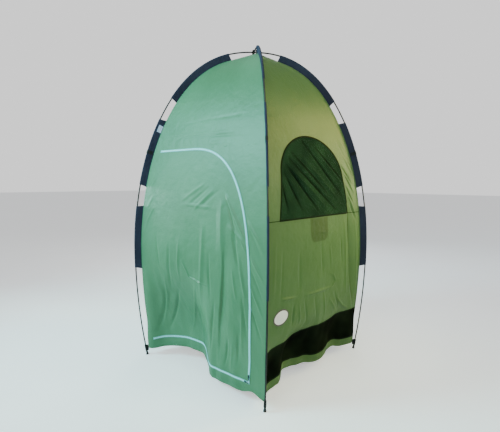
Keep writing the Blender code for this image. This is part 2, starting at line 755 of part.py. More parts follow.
def window_line(z, gap):
    """Places along a row of the window wall; gap is outside the window's edge if positive."""
    base = min(max(z, WINDOW_SILL), window_rows()[-1])
    half = window_half(base) + gap
    edge = wall_edge(base)
    inner = [WINDOW_CENTRE - half + 2 * half * i / WINDOW_COLUMNS for i in range(WINDOW_COLUMNS + 1)]
    left = [-edge + (edge + inner[0]) * i / SIDE_COLUMNS for i in range(SIDE_COLUMNS)]
    right = [inner[-1] + (edge - inner[-1]) * i / SIDE_COLUMNS for i in range(1, SIDE_COLUMNS + 1)]
    scale = wall_edge(z) / edge
    return [a * scale for a in (*left, *inner, *right)], inner


def window_crown(along):
    """Height of the window's round top above a place in its last row."""
    reach = (along - WINDOW_CENTRE) / WINDOW_SPRING_HALF
    return WINDOW_SPRING + (WINDOW_TOP - WINDOW_SPRING) * math.sqrt(max(1 - reach * reach, 0))


def make_window_wall():
    """Cloth from the vent to the crown with the window's arch left out."""
    arch = window_rows()
    below = cloth_rows(VENT_TOP + SEAM, WINDOW_SILL - SEAM)
    above = cloth_rows(WINDOW_TOP + WINDOW_HEAD, top_row())
    heights = [*below, *arch[1:], None, *above]
    first, last = SIDE_COLUMNS, SIDE_COLUMNS + WINDOW_COLUMNS
    cap = len(below) + len(arch) - 1

    def place(column, row):
        z = heights[row]
        if z is not None:
            return on_wall("window", window_line(z, SEAM)[0][column], z)
        shoulder = arch[-1] + WINDOW_SHOULDER
        if column < first or column > last:
            return on_wall("window", window_line(shoulder, SEAM)[0][column], shoulder)
        along = window_line(arch[-1], SEAM)[0][column]
        return on_wall("window", along, window_crown(along) + SEAM if first < column < last else shoulder)

    def keep(column, row):
        in_window = first <= column < last
        return not (in_window and len(below) - 1 <= row < cap)

    columns = 2 * SIDE_COLUMNS + WINDOW_COLUMNS
    sheet("window_wall", columns, len(heights) - 1, place, "wall_cloth", keep)


def make_window_mesh():
    arch = window_rows()
    heights = [arch[0] + SEAM, *arch[1:], None]

    def place(column, row):
        z = heights[row]
        if z is not None:
            return on_wall("window", window_line(z, -SEAM)[1][column], z)
        along = window_line(arch[-1], -SEAM)[1][column]
        inner = 0 < column < WINDOW_COLUMNS
        return on_wall("window", along, window_crown(along) - SEAM if inner else arch[-1] + MESH_SHOULDER)

    sheet("window_mesh", WINDOW_COLUMNS, len(heights) - 1, place, "mesh_cloth")


def make_vent_and_skirt():
    columns = 2 * SIDE_COLUMNS + WINDOW_COLUMNS
    for name, low, high, finish in (("vent_mesh", VENT_BOTTOM + SEAM, VENT_TOP - SEAM, "mesh_cloth"),
                                    ("hem_skirt", HEM_HEIGHT, VENT_BOTTOM - SEAM, "wall_cloth")):
        rows = cloth_rows(low, high)
        sheet(name, columns, len(rows) - 1,
              lambda column, row, rows=rows: on_wall("window", window_line(rows[row], SEAM)[0][column],
                                                     rows[row]), finish)


def make_plain_walls():
    rows = cloth_rows(HEM_HEIGHT, top_row())
    for wall, finish in (("back", "wall_cloth"), ("left", "door_cloth")):

        def place(column, row, wall=wall):
            edge = wall_edge(rows[row])
            return on_wall(wall, -edge + 2 * edge * column / PLAIN_COLUMNS, rows[row])

        sheet(f"{wall}_wall", PLAIN_COLUMNS, len(rows) - 1, place, finish)


def make_pocket():
    """Flat pocket sewn inside the window wall, with round lower corners."""
    start, end, low, high = POCKET
    rows = sorted({low, *[float(z) for z in CORNER_HEIGHT if low < z < high], high,
                   low + POCKET_ROUND * 0.3, low + POCKET_ROUND})
    into = -(CLOTH / 2 + PATCH_GAP + PATCH_THICKNESS / 2)

    def place(column, row):
        z = rows[row]
        pull = max(low + POCKET_ROUND - z, 0) / POCKET_ROUND
        shrink = POCKET_ROUND * (1 - math.sqrt(1 - min(pull, 0.98) ** 2))
        along = start + shrink + (end - start - 2 * shrink) * column / POCKET_COLUMNS
        return on_wall("window", along, z, into)

    sheet("inner_pocket", POCKET_COLUMNS, len(rows) - 1, place, "wall_cloth", thickness=PATCH_THICKNESS)


def make_badge():
    """Bare oval patch on the window wall."""
    bm = bmesh.new()
    bmesh.ops.create_circle(bm, cap_ends=True, cap_tris=False, segments=20, radius=1)
    out = CLOTH / 2 + PATCH_GAP + PATCH_THICKNESS / 2
    for v in bm.verts:
        v.co = on_wall("window", BADGE_CENTRE[0] + BADGE_HALF[0] * v.co.x,
                       BADGE_CENTRE[1] + BADGE_HALF[1] * v.co.y, out)
    bmesh.ops.recalc_face_normals(bm, faces=bm.faces)
    made = finish_mesh(bm, "blank_badge", "badge")
    solid = made.modifiers.new("thickness", "SOLIDIFY")
    solid.thickness = PATCH_THICKNESS
    solid.offset = 0


def make_crown_tie():
    """Patch over the walls' meeting point with a webbing loop round both poles."""
    base = CORNER_HEIGHT[-1] + CLOTH / 2 + STITCH_GAP
    bm = bmesh.new()
    bmesh.ops.create_cone(bm, cap_ends=True, segments=16, radius1=PATCH_RADIUS, radius2=PATCH_RADIUS,
                          depth=TIE_THICKNESS)
    bmesh.ops.translate(bm, verts=bm.verts, vec=(0, 0, base + TIE_THICKNESS / 2))
    patch = finish_mesh(bm, "crown_tie", "webbing")
    inner_half = TIE_WIDTH / 2 + POLE_DIAMETER / math.sqrt(2) + 2 * STITCH_GAP
    pole_top = ARCH_HEIGHT + float(crossing_rise(0)) + POLE_DIAMETER / 2 + STITCH_GAP
    low, high = base, pole_top + TIE_THICKNESS
    outer = box((2 * inner_half + 2 * TIE_THICKNESS, TIE_WIDTH, high - low),
                (0, 0, (low + high) / 2), "tie_outer")
    floor = base + TIE_THICKNESS
    hole = box((2 * inner_half, TIE_WIDTH * 2, pole_top - floor), (0, 0, (pole_top + floor) / 2),
               "tie_hole")
    combine(patch, [outer], "UNION")
    combine(patch, [hole], "DIFFERENCE")


# Sliders and pullers: made lying in the wall's plane and set on it by a frame
def wall_frame(along, z):
    """Frame on the door wall: x along it, y up it, z out of it."""
    here = on_wall("door", along, z)
    above = on_wall("door", along, z + ROW_GAP)
    up = (above - here).normalized()
    across = Vector((1, 0, 0))
    outwards = across.cross(up)
    frame = Matrix((across, up, outwards)).transposed().to_4x4()
    frame.translation = here
    return frame


def placed(bm, frame, name, finish, group=COLLECTION):
    bmesh.ops.transform(bm, verts=bm.verts, matrix=frame)
    return finish_mesh(bm, name, finish, group)


def block(size, centre):
    bm = bmesh.new()
    bmesh.ops.create_cube(bm, size=1)
    bmesh.ops.transform(bm, verts=bm.verts, matrix=Matrix.Translation(centre) @ Matrix.Diagonal((*size, 1)))
    return bm


def slider_seat():
    """Distance from the cloth's middle to a slider's back."""
    return CLOTH / 2 + TAPE_GAP + TAPE_THICKNESS + SLIDER_GAP


def hinge_out():
    """Distance from the cloth's middle to a puller's end bar, about which it turns."""
    return slider_seat() + SLIDER_SIZE[2] + PULLER_EASE + PULLER_SIZE[2] / 2


SLIDER_PLACES = {
    "side": (door_edge(DOOR_BOTTOM + SIDE_SLIDER_RISE)[0], DOOR_BOTTOM + SIDE_SLIDER_RISE, 0),
    "bottom": (DOOR_TOE - BOTTOM_SLIDER_BACK, DOOR_BOTTOM, 90),
}


def slider_frame(name):
    """Frame of a slider: y along its zip, towards where it opens, and z out of the cloth."""
    along, z, turned = SLIDER_PLACES[name]
    return wall_frame(along, z) @ Matrix.Rotation(math.radians(turned), 4, "Z")


def make_sliders():
    for name in SLIDER_PLACES:
        frame = slider_frame(name)
        front = slider_seat() + SLIDER_SIZE[2]
        body = placed(block(SLIDER_SIZE, (0, 0, front - SLIDER_SIZE[2] / 2)), frame,
                      f"{name}_zip_slider", "zip_metal")
        wide, long, tall = BRIDGE_SIZE
        bridge = block((wide, long, tall + SUNK), (0, 0, front + (tall - SUNK) / 2))
        hole = block((wide * 2, *BRIDGE_HOLE), (0, 0, front + BRIDGE_HOLE[1] / 2))
        combine(body, [placed(bridge, frame, f"{name}_bridge", "zip_metal", "cutters")], "UNION")
        combine(body, [placed(hole, frame, f"{name}_bridge_hole", "zip_metal", "cutters")], "DIFFERENCE")
        make_puller(name, frame)


def make_puller(name, frame):
    """Flat tag that hangs from a slider's bridge by its eye."""
    wide, long, thick = PULLER_SIZE
    top = PULLER_BAR / 2
    tag = placed(block((wide, long, thick), (0, top - long / 2, hinge_out())), frame,
                 f"{name}_zip_puller", "zip_metal")
    eye_middle = -PULLER_BAR / 2 - PULLER_EYE[1] / 2
    eye = placed(block((*PULLER_EYE, thick * 3), (0, eye_middle, hinge_out())), frame,
                 f"{name}_eye", "zip_metal", "cutters")
    combine(tag, [eye], "DIFFERENCE")


def report_places():
    """Prints the places that the joints and mounts use."""
    hinge_y = -(float(CORNER_HALF.max()) + CLOTH / 2 + STITCH_GAP)
    print("pole length", round(LOWER_POLE.length, 4), "base side", round(2 * wall_half(HEM_HEIGHT), 4))
    print("widest", round(2 * float(CORNER_HALF.max()), 4), "crown of the cloth", CORNER_HEIGHT[-1])
    print("door hinge", (DOOR_HINGE, round(hinge_y, 5)), "swing", DOOR_SWING)
    for name, (along, z, turned) in SLIDER_PLACES.items():
        frame = slider_frame(name)
        axis = frame.to_3x3() @ Vector((-1, 0, 0))
        print(name, "puller at", [round(c, 5) for c in frame @ Vector((0, 0, hinge_out()))],
              "axis", [round(c, 5) for c in axis])
        reach = BOTTOM_SLIDER_TRAVEL if turned else SIDE_SLIDER_TRAVEL
        there = (along - reach, z) if turned else (door_edge(z + reach)[0], z + reach)
        step = on_wall("door", *there) - on_wall("door", along, z)
        print(name, "travel", [round(c, 5) for c in step.normalized()], round(step.length, 4))
    for leg in LEGS:
        point, _ = LOWER_POLE.place(0)
        print("foot", leg, [round(c, 5) for c in Vector((*LEGS[leg], 0)).normalized() * point[0]])


def build():
    clear_scene()
    make_poles()
    make_sleeves()
    make_bands()
    make_label()
    make_tips_and_straps()
    make_door_wall()
    make_door_flap()
    make_zip_tapes()
    make_window_wall()
    make_window_mesh()
    make_vent_and_skirt()
    make_plain_walls()
    make_pocket()
    make_badge()
    make_crown_tie()
    make_sliders()
    report_places()


build()
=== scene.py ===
# %% [markdown]
# # A toilet tent, dressed
# This script gives a plain solid model of a tall privacy tent its cloth, poles, zip and net window.
# The solid model is the frame: it says where everything is, and nothing here changes its size. Each
# soft or round piece is built again with more detail and stands for the solid of the same place.

import json
import math

import bmesh
import bpy
import numpy as np
from mathutils import Matrix, Vector, noise
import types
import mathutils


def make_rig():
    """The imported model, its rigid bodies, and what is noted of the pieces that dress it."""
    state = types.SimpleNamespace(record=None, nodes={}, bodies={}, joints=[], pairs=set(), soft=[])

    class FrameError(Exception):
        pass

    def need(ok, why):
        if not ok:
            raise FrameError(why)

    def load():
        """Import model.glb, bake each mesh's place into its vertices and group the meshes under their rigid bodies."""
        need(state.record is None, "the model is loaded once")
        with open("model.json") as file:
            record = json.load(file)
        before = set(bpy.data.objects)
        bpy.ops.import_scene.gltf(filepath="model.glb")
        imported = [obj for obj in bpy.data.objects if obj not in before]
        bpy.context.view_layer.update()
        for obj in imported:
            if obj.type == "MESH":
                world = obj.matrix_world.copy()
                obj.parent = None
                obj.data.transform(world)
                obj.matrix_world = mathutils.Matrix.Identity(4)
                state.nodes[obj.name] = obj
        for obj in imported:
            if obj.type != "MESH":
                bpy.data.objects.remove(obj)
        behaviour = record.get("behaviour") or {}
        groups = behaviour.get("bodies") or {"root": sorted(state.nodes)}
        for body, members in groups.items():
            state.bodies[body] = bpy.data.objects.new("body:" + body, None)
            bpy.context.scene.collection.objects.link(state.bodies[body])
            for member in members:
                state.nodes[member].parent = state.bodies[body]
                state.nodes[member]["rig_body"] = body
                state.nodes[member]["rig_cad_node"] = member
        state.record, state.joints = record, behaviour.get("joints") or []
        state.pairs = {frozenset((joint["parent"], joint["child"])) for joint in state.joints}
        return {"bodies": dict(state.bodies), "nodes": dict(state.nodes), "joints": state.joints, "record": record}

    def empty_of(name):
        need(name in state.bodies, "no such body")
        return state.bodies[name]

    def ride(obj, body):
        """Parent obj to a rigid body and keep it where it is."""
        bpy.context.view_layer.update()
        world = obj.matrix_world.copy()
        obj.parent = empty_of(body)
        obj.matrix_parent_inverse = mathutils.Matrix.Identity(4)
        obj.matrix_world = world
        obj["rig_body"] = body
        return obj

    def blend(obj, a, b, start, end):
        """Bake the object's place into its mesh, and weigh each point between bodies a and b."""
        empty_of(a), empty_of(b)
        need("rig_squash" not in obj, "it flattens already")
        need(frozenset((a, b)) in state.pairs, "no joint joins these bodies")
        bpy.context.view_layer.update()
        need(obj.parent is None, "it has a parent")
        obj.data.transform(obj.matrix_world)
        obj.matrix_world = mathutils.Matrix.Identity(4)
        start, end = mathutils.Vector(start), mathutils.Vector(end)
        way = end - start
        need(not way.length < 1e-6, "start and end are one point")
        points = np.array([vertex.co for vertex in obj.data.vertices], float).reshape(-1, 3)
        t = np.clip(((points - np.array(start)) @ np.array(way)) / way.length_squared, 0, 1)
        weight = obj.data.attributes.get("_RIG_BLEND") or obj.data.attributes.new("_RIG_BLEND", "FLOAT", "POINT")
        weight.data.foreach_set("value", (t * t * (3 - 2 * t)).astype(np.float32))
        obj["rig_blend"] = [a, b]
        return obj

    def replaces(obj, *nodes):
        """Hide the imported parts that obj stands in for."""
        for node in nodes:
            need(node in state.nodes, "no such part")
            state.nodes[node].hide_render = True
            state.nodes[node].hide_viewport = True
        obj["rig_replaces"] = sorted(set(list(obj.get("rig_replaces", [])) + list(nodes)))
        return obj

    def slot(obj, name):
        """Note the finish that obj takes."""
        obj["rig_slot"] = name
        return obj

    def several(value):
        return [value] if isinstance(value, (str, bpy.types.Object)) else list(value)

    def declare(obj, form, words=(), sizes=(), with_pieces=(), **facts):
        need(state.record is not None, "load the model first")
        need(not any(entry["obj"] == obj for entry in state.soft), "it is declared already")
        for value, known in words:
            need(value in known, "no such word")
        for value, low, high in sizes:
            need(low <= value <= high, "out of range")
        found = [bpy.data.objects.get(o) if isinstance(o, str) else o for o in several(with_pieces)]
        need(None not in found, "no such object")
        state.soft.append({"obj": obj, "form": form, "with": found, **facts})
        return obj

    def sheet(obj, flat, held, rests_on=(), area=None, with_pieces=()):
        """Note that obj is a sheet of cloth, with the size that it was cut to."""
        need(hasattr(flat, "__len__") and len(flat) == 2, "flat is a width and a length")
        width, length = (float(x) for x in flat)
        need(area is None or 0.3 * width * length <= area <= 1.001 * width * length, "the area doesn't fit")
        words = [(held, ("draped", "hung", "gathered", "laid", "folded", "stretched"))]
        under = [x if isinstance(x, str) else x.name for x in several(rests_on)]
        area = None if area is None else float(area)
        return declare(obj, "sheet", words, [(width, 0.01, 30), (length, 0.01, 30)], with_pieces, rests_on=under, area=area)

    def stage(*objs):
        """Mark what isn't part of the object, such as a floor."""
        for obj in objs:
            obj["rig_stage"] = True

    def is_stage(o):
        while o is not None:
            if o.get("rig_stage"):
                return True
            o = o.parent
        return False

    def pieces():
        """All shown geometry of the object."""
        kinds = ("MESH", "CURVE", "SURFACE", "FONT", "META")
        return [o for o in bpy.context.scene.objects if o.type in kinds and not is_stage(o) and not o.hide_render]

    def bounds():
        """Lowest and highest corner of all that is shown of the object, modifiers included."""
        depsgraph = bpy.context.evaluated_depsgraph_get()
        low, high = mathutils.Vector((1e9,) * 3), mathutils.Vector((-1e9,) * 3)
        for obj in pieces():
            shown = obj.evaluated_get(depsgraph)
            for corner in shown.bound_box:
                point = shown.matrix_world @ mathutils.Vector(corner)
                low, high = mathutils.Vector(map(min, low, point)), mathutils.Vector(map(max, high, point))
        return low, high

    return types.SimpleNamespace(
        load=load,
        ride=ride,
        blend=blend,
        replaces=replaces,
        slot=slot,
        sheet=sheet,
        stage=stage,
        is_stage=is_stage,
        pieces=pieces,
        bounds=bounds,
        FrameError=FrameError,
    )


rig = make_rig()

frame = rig.load()
cad_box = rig.bounds()
print("solids in the frame:", len(frame["nodes"]))
print("overall:", [round(c, 3) for c in cad_box[1] - cad_box[0]])

# %% [markdown]
# ## Sizes
# A tent is drawn as flat patterns, so its sizes are those that a pattern cutter would note: how high
# the poles stand, how far the cloth hangs from them, and where the zip and the window lie on a wall.
# Lengths are in metres. "Along" runs across a wall from its middle, and z is the height.

# %% Poles and sleeves
ARCH_HEIGHT, WIDEST_HEIGHT = 1.95, 0.684
WIDEST_HALF, FOOT_HALF = 0.7617, 0.6952
CROWN_EXPONENT = 2.309
SECTIONS = 7
POLE_RADIUS, POLE_WALL = 0.00425, 0.00195
FERRULE_RADIUS, FERRULE_WALL, FERRULE_LENGTH = 0.00545, 0.0008, 0.060
CORD_RADIUS = 0.0015
CROSSING_HALF, CROSSING_LIFT = 0.125, 0.0089  # how near the crossing the upper pole rises, and how far
TIP_RADIUS = 0.00625
TIP_FOOT_RADIUS, TIP_FOOT_HEIGHT = 0.0084, 0.0105
STRAP = (0.028, 0.064)
SLEEVE_WIDTH, SLEEVE_RADIUS = 0.038, 0.0060
SLEEVES = {"upper": (1.652, 1.933), "middle": (1.112, 1.528), "lower": (0.579, 0.982)}
SEAM_REACH = 0.0020  # how far a sleeve's two edges go into the corner seam
SLEEVE_SLANT = 0.0045  # the ends lean, longer at the cloth by this and shorter at the pole
BAND_HEIGHTS = {"left": 1.322, "right": 1.330, "front": 1.342, "rear": 1.330}
BAND_LENGTH = 0.022
LABEL_HEIGHT, LABEL_SIZE = 1.473, (0.026, 0.045)
LEGS = {"left": (-1, -1), "right": (1, 1), "front": (1, -1), "rear": (-1, 1)}

# %% Cloth
CLOTH = 0.0004
SEAM = 0.0006  # from a seam's line to each edge of the cloth there
CORNER_GAP = 0.0012
HEM_HEIGHT = 0.045
HEM_INSET, HEM_INSET_TOP = 0.017, 0.25
TOP_HOLE_HALF, PATCH_RADIUS = 0.030, 0.055

DOOR_HINGE = -0.380
HINGE_SLANT = 0.064  # how much further back the hinge line is at the bottom zip
DOOR_TOP, DOOR_BOTTOM = 1.320, 0.112
DOOR_SIDE, DOOR_SIDE_HEIGHT = 0.4055, 0.515
DOOR_CROWN, DOOR_CROWN_EXPONENT = -0.095, 2.56
DOOR_TOE = 0.385
TAPE_WIDTH, TAPE_THICKNESS, TAPE_OUT = 0.006, 0.0008, 0.0018

WINDOW_CENTRE = -0.030
WINDOW_SILL, WINDOW_SILL_HALF = 0.945, 0.366
WINDOW_SPRING, WINDOW_SPRING_HALF = 1.170, 0.325
WINDOW_TOP = 1.392
VENT_TOP, VENT_BOTTOM = 0.292, 0.096
POCKET, POCKET_ROUND = (-0.114, 0.074, 0.804, 0.935), 0.045
BADGE_CENTRE, BADGE_HALF = (-0.385, 0.455), (0.064, 0.041)

# %% [markdown]
# ## Floor, light and camera
# A product picture of a tent is taken from standing height, a few steps from one corner. Big soft
# boxes stand for the sky: a cool one on the door's side, a warm one high over the window's side and a
# white one overhead, because thin cloth takes its colour and its depth from what lights it.

# %% Camera at the corner between the door and the window
CAMERA_PLACE = (1.62072, -1.94365, 1.13611)
CAMERA_TURN = (84.9915, -0.3499, 40.3699)  # degrees about x, y and z
CAMERA_LENS, CAMERA_SENSOR = 27.968, 36


def show(name, data):
    """Puts new data, such as a mesh or a light, into the scene as an object."""
    made = bpy.data.objects.new(name, data)
    bpy.context.scene.collection.objects.link(made)
    return made


camera_data = bpy.data.cameras.new("corner_camera")
camera_data.lens, camera_data.sensor_width = CAMERA_LENS, CAMERA_SENSOR
camera = show("corner_camera", camera_data)
camera.location = CAMERA_PLACE
camera.rotation_euler = [math.radians(t) for t in CAMERA_TURN]
bpy.context.scene.camera = camera
print("camera stands", round(Vector(CAMERA_PLACE).xy.length, 2), "m from the tent's middle")


# %% Colours as a painter writes them, turned to the renderer's linear values
def linear(code):
    """Linear red, green, blue and alpha from an sRGB hex colour."""
    parts = [int(code[i:i + 2], 16) / 255 for i in (1, 3, 5)]
    return (*[c / 12.92 if c <= 0.04045 else ((c + 0.055) / 1.055) ** 2.4 for c in parts], 1)


# %% One helper adds a node with its settings and links
def fill(tree, node, inputs):
    """Sets a node's inputs by name, or links them where the value comes from another node."""
    for name, value in inputs.items():
        if isinstance(value, bpy.types.NodeSocket):
            tree.links.new(value, node.inputs[name])
        else:
            node.inputs[name].default_value = value


def add_node(tree, kind, inputs=None, **settings):
    """Adds a node, sets its fields and fills its inputs."""
    node = tree.nodes.new(kind)
    for name, value in settings.items():
        setattr(node, name, value)
    fill(tree, node, inputs or {})
    return node


# %% Soft boxes and pale surroundings
SOFT_BOXES = {  # place, the point it looks at, size, power, colour, and its beam's spread in degrees
    "sky_box": ((-2.2, -3.4, 3.3), (-0.2, -0.5, 1.40), 1.6, 74, "#98eaf0", 80),
    "left_box": ((-3.3, -3.1, 1.5), (-0.1, -0.5, 1.0), 2.2, 22, "#b4ecf4", 110),
    "glint_box": ((-4.2, -1.1, 1.2), (-0.1, -0.5, 0.8), 0.9, 14, "#c4f4f4", 60),
    "front_box": ((0.7, -3.8, 2.6), (0.1, -0.3, 1.3), 1.8, 32, "#ecfffa", 110),
    "sun_box": ((1.9, 3.0, 2.8), (0.45, 0.50, 1.40), 1.0, 7, "#fff088", 50),
    "low_sun_box": ((2.2, 2.8, 1.7), (0.5, 0.5, 0.8), 0.8, 4, "#f8f4b0", 30),
    "side_box": ((3.9, 0.9, 3.2), (0.5, 0.0, 1.3), 1.6, 22, "#eeffd4", 80),
    "top_box": ((-0.1, -0.1, 4.6), (0, 0, 1.0), 2.2, 46, "#f6fffa", 180),
    "back_box": ((-2.2, 3.6, 2.8), (-0.2, 0.3, 1.0), 2.4, 60, "#f4f8ff", 180),
}
for name, (place, target, size, power, colour, spread) in SOFT_BOXES.items():
    light = bpy.data.lights.new(name, "AREA")
    light.size, light.energy = size, power
    light.color = linear(colour)[:3]
    light.spread = math.radians(spread)
    box = show(name, light)
    box.location = place
    box.rotation_euler = (Vector(target) - Vector(place)).to_track_quat("-Z", "Y").to_euler()

SEEN_SKY, LIT_SKY = 1.15, 0.24  # how bright the surroundings look, and how much they light
world = bpy.data.worlds.new("pale_surroundings")
world.use_nodes = True
tree = world.node_tree
seen = add_node(tree, "ShaderNodeBackground", {"Color": linear("#ffffff"), "Strength": SEEN_SKY})
lit = tree.nodes["Background"]
fill(tree, lit, {"Color": linear("#eef4fa"), "Strength": LIT_SKY})
looked_at = add_node(tree, "ShaderNodeLightPath").outputs["Is Camera Ray"]
sky = add_node(tree, "ShaderNodeMixShader", {0: looked_at, 1: lit.outputs[0], 2: seen.outputs[0]})
fill(tree, tree.nodes["World Output"], {"Surface": sky.outputs[0]})
bpy.context.scene.world = world
print("soft boxes:", len(SOFT_BOXES))

# %% [markdown]
# ## Finishes
# Every finish starts from what the real thing is made of. Most of this tent is polyester taffeta: a
# plain weave of fine threads, coated inside so that it holds water out, which leaves it smooth, a
# little shiny and full of small creases from its bag. Patterns are measured on the cloth itself, so
# the cloth pieces carry a UV map in metres and their patterns are scaled from real sizes in mm.


# %% Starting a finish, and the colours, patterns and relief that finishes share
def new_finish(name, place="UV"):
    """An empty finish: the material, its node tree, its shader and the place that patterns follow."""
    made = bpy.data.materials.new(name)
    made.use_nodes = True
    tree = made.node_tree
    return made, tree, tree.nodes["Principled BSDF"], add_node(tree, "ShaderNodeTexCoord").outputs[place]


def colour_between(tree, fac, low, high, start=0.3, end=0.7):
    """A colour that goes from low to high as fac goes from start to end."""
    node = add_node(tree, "ShaderNodeValToRGB", {"Fac": fac})
    for stop, place, code in zip(node.color_ramp.elements, (start, end), (low, high)):
        stop.position, stop.color = place, linear(code)
    return node.outputs["Color"]


def multiplied(tree, fac, colour, other):
    """A colour times another one, as far as fac says."""
    return add_node(tree, "ShaderNodeMix", {0: fac, 6: colour, 7: other}, data_type="RGBA",
                    blend_type="MULTIPLY").outputs[2]


def reckon(tree, operation, first, second):
    return add_node(tree, "ShaderNodeMath", {0: first, 1: second}, operation=operation).outputs[0]


def cloudy(tree, place, scale, detail=3.0, roughness=0.5, kind="FBM"):
    """Soft noise with scale waves in a metre."""
    return add_node(tree, "ShaderNodeTexNoise", {"Vector": place, "Scale": scale, "Detail": detail,
                                                 "Roughness": roughness}, noise_type=kind).outputs["Fac"]


def thread_bands(tree, place, direction, pitch_mm):
    """Bands across a direction, one for each pitch. At scale 1 the texture has pi / 10 m to a band."""
    return add_node(tree, "ShaderNodeTexWave", {"Vector": place, "Scale": 1000 / pitch_mm * math.pi / 10},
                    bands_direction=direction).outputs["Fac"]


def relief(tree, strength, distance, height, under=None):
    """The surface's direction with a pattern's height on it, over another relief if there is one."""
    below = {} if under is None else {"Normal": under}
    return add_node(tree, "ShaderNodeBump", {"Strength": strength, "Distance": distance, "Height": height,
                                             **below}).outputs["Normal"]


# %% Polyester taffeta
STREAK_STRETCH = (3.0, 0.32, 1.0)  # draws round noise out into upright streaks


def taffeta(name, shade, light, roughness=0.42, crumple_mm=38, thread_mm=1.6, gloss=0.32):
    """Coated polyester taffeta: smooth, slightly shiny, softly crumpled. Its threads are really
    0.3 mm apart, too fine to show, and are drawn thread_mm apart. Where a point's attribute for painted
    shade is 1, the colour is painted darker and browner: the pocket's shadow seen through the cloth, and the shade in
    a deep fold."""
    made, tree, shader, cloth_map = new_finish(name)
    colour = colour_between(tree, cloudy(tree, cloth_map, 3.2), shade, light)
    weave = reckon(tree, "MULTIPLY", *[thread_bands(tree, cloth_map, way, thread_mm) for way in "XY"])
    threads = colour_between(tree, weave, "#e2e2e2", "#ffffff", 0.0, 1.0)
    layers = add_node(tree, "ShaderNodeAttribute", attribute_name="painted_shade").outputs["Fac"]
    drawn = add_node(tree, "ShaderNodeVectorMath", {0: cloth_map, 1: STREAK_STRETCH},
                     operation="MULTIPLY").outputs[0]
    upright = cloudy(tree, drawn, 18.0, 3.0, 0.6, "RIDGED_MULTIFRACTAL")
    crumpled = relief(tree, 0.7, 0.004, cloudy(tree, cloth_map, 1000 / crumple_mm, 4.0, 0.55))
    streaked = relief(tree, 0.2, 0.0012, upright, crumpled)
    fill(tree, shader, {
        # painted shade: the colour is multiplied darker and browner where the shade attribute is 1
        "Base Color": multiplied(tree, layers, multiplied(tree, 1.0, colour, threads), linear("#d2cfbc")),
        "Normal": relief(tree, 0.2, 0.0003, weave, streaked),
        "Roughness": roughness, "IOR": 1.5, "Specular IOR Level": gloss})
    return made


# %% Net: dark threads with open meshes between them
MESH_MM = 1.8


def netting(name, shade, light, open_alpha):
    """Knitted insect net of matt thread. Its meshes are really 1 mm wide and are drawn MESH_MM wide.
    A drawn mesh stands for several real ones, so it is only partly open, by open_alpha. Where the net
    lies in a pleat, the piece's pleat attribute is 1: there the net lies double and is as good as
    closed, and its colour is darkened as painted shade."""
    made, tree, shader, cloth_map = new_finish(name)
    threads = reckon(tree, "MAXIMUM", *[thread_bands(tree, cloth_map, way, MESH_MM) for way in "XY"])
    cover = add_node(tree, "ShaderNodeMapRange", {"Value": threads, "From Min": 0.35, "From Max": 0.75,
                                                  "To Min": open_alpha, "To Max": 1.0}).outputs["Result"]
    pleat = add_node(tree, "ShaderNodeAttribute", attribute_name="pleat").outputs["Fac"]
    thread = colour_between(tree, cloudy(tree, cloth_map, 6.0, 2.0), shade, light)
    fill(tree, shader, {
        # painted shade: the threads are darkened where the net lies in a pleat
        "Base Color": multiplied(tree, pleat, thread, linear("#2a2c2a")),
        "Alpha": reckon(tree, "MAXIMUM", cover, pleat), "Roughness": 0.95, "Specular IOR Level": 0.03})
    return made


# %% Woven tapes and webbing
def woven(name, shade, light, rib_mm, roughness=0.7, gloss=0.3):
    """Narrow woven tape, with ribs across it that catch the light."""
    made, tree, shader, cloth_map = new_finish(name)
    ribs = thread_bands(tree, cloth_map, "Y", rib_mm)
    fill(tree, shader, {
        "Base Color": colour_between(tree, ribs, shade, light, 0.1, 0.9),
        "Normal": relief(tree, 0.5, 0.0004, ribs),
        "Roughness": roughness, "Specular IOR Level": gloss, "Sheen Weight": gloss / 3})
    return made


# %% Moulded, drawn and plated finishes
def moulded(name, shade, light, roughness, grain_mm=3.0, metallic=0.0, strength=0.15):
    """A hard finish with faint mottling and a fine grain."""
    made, tree, shader, place = new_finish(name, "Object")
    grain = cloudy(tree, place, 1000 / grain_mm)
    fill(tree, shader, {
        "Base Color": colour_between(tree, grain, shade, light),
        "Normal": relief(tree, strength, 0.0002, grain), "Roughness": roughness, "Metallic": metallic})
    return made


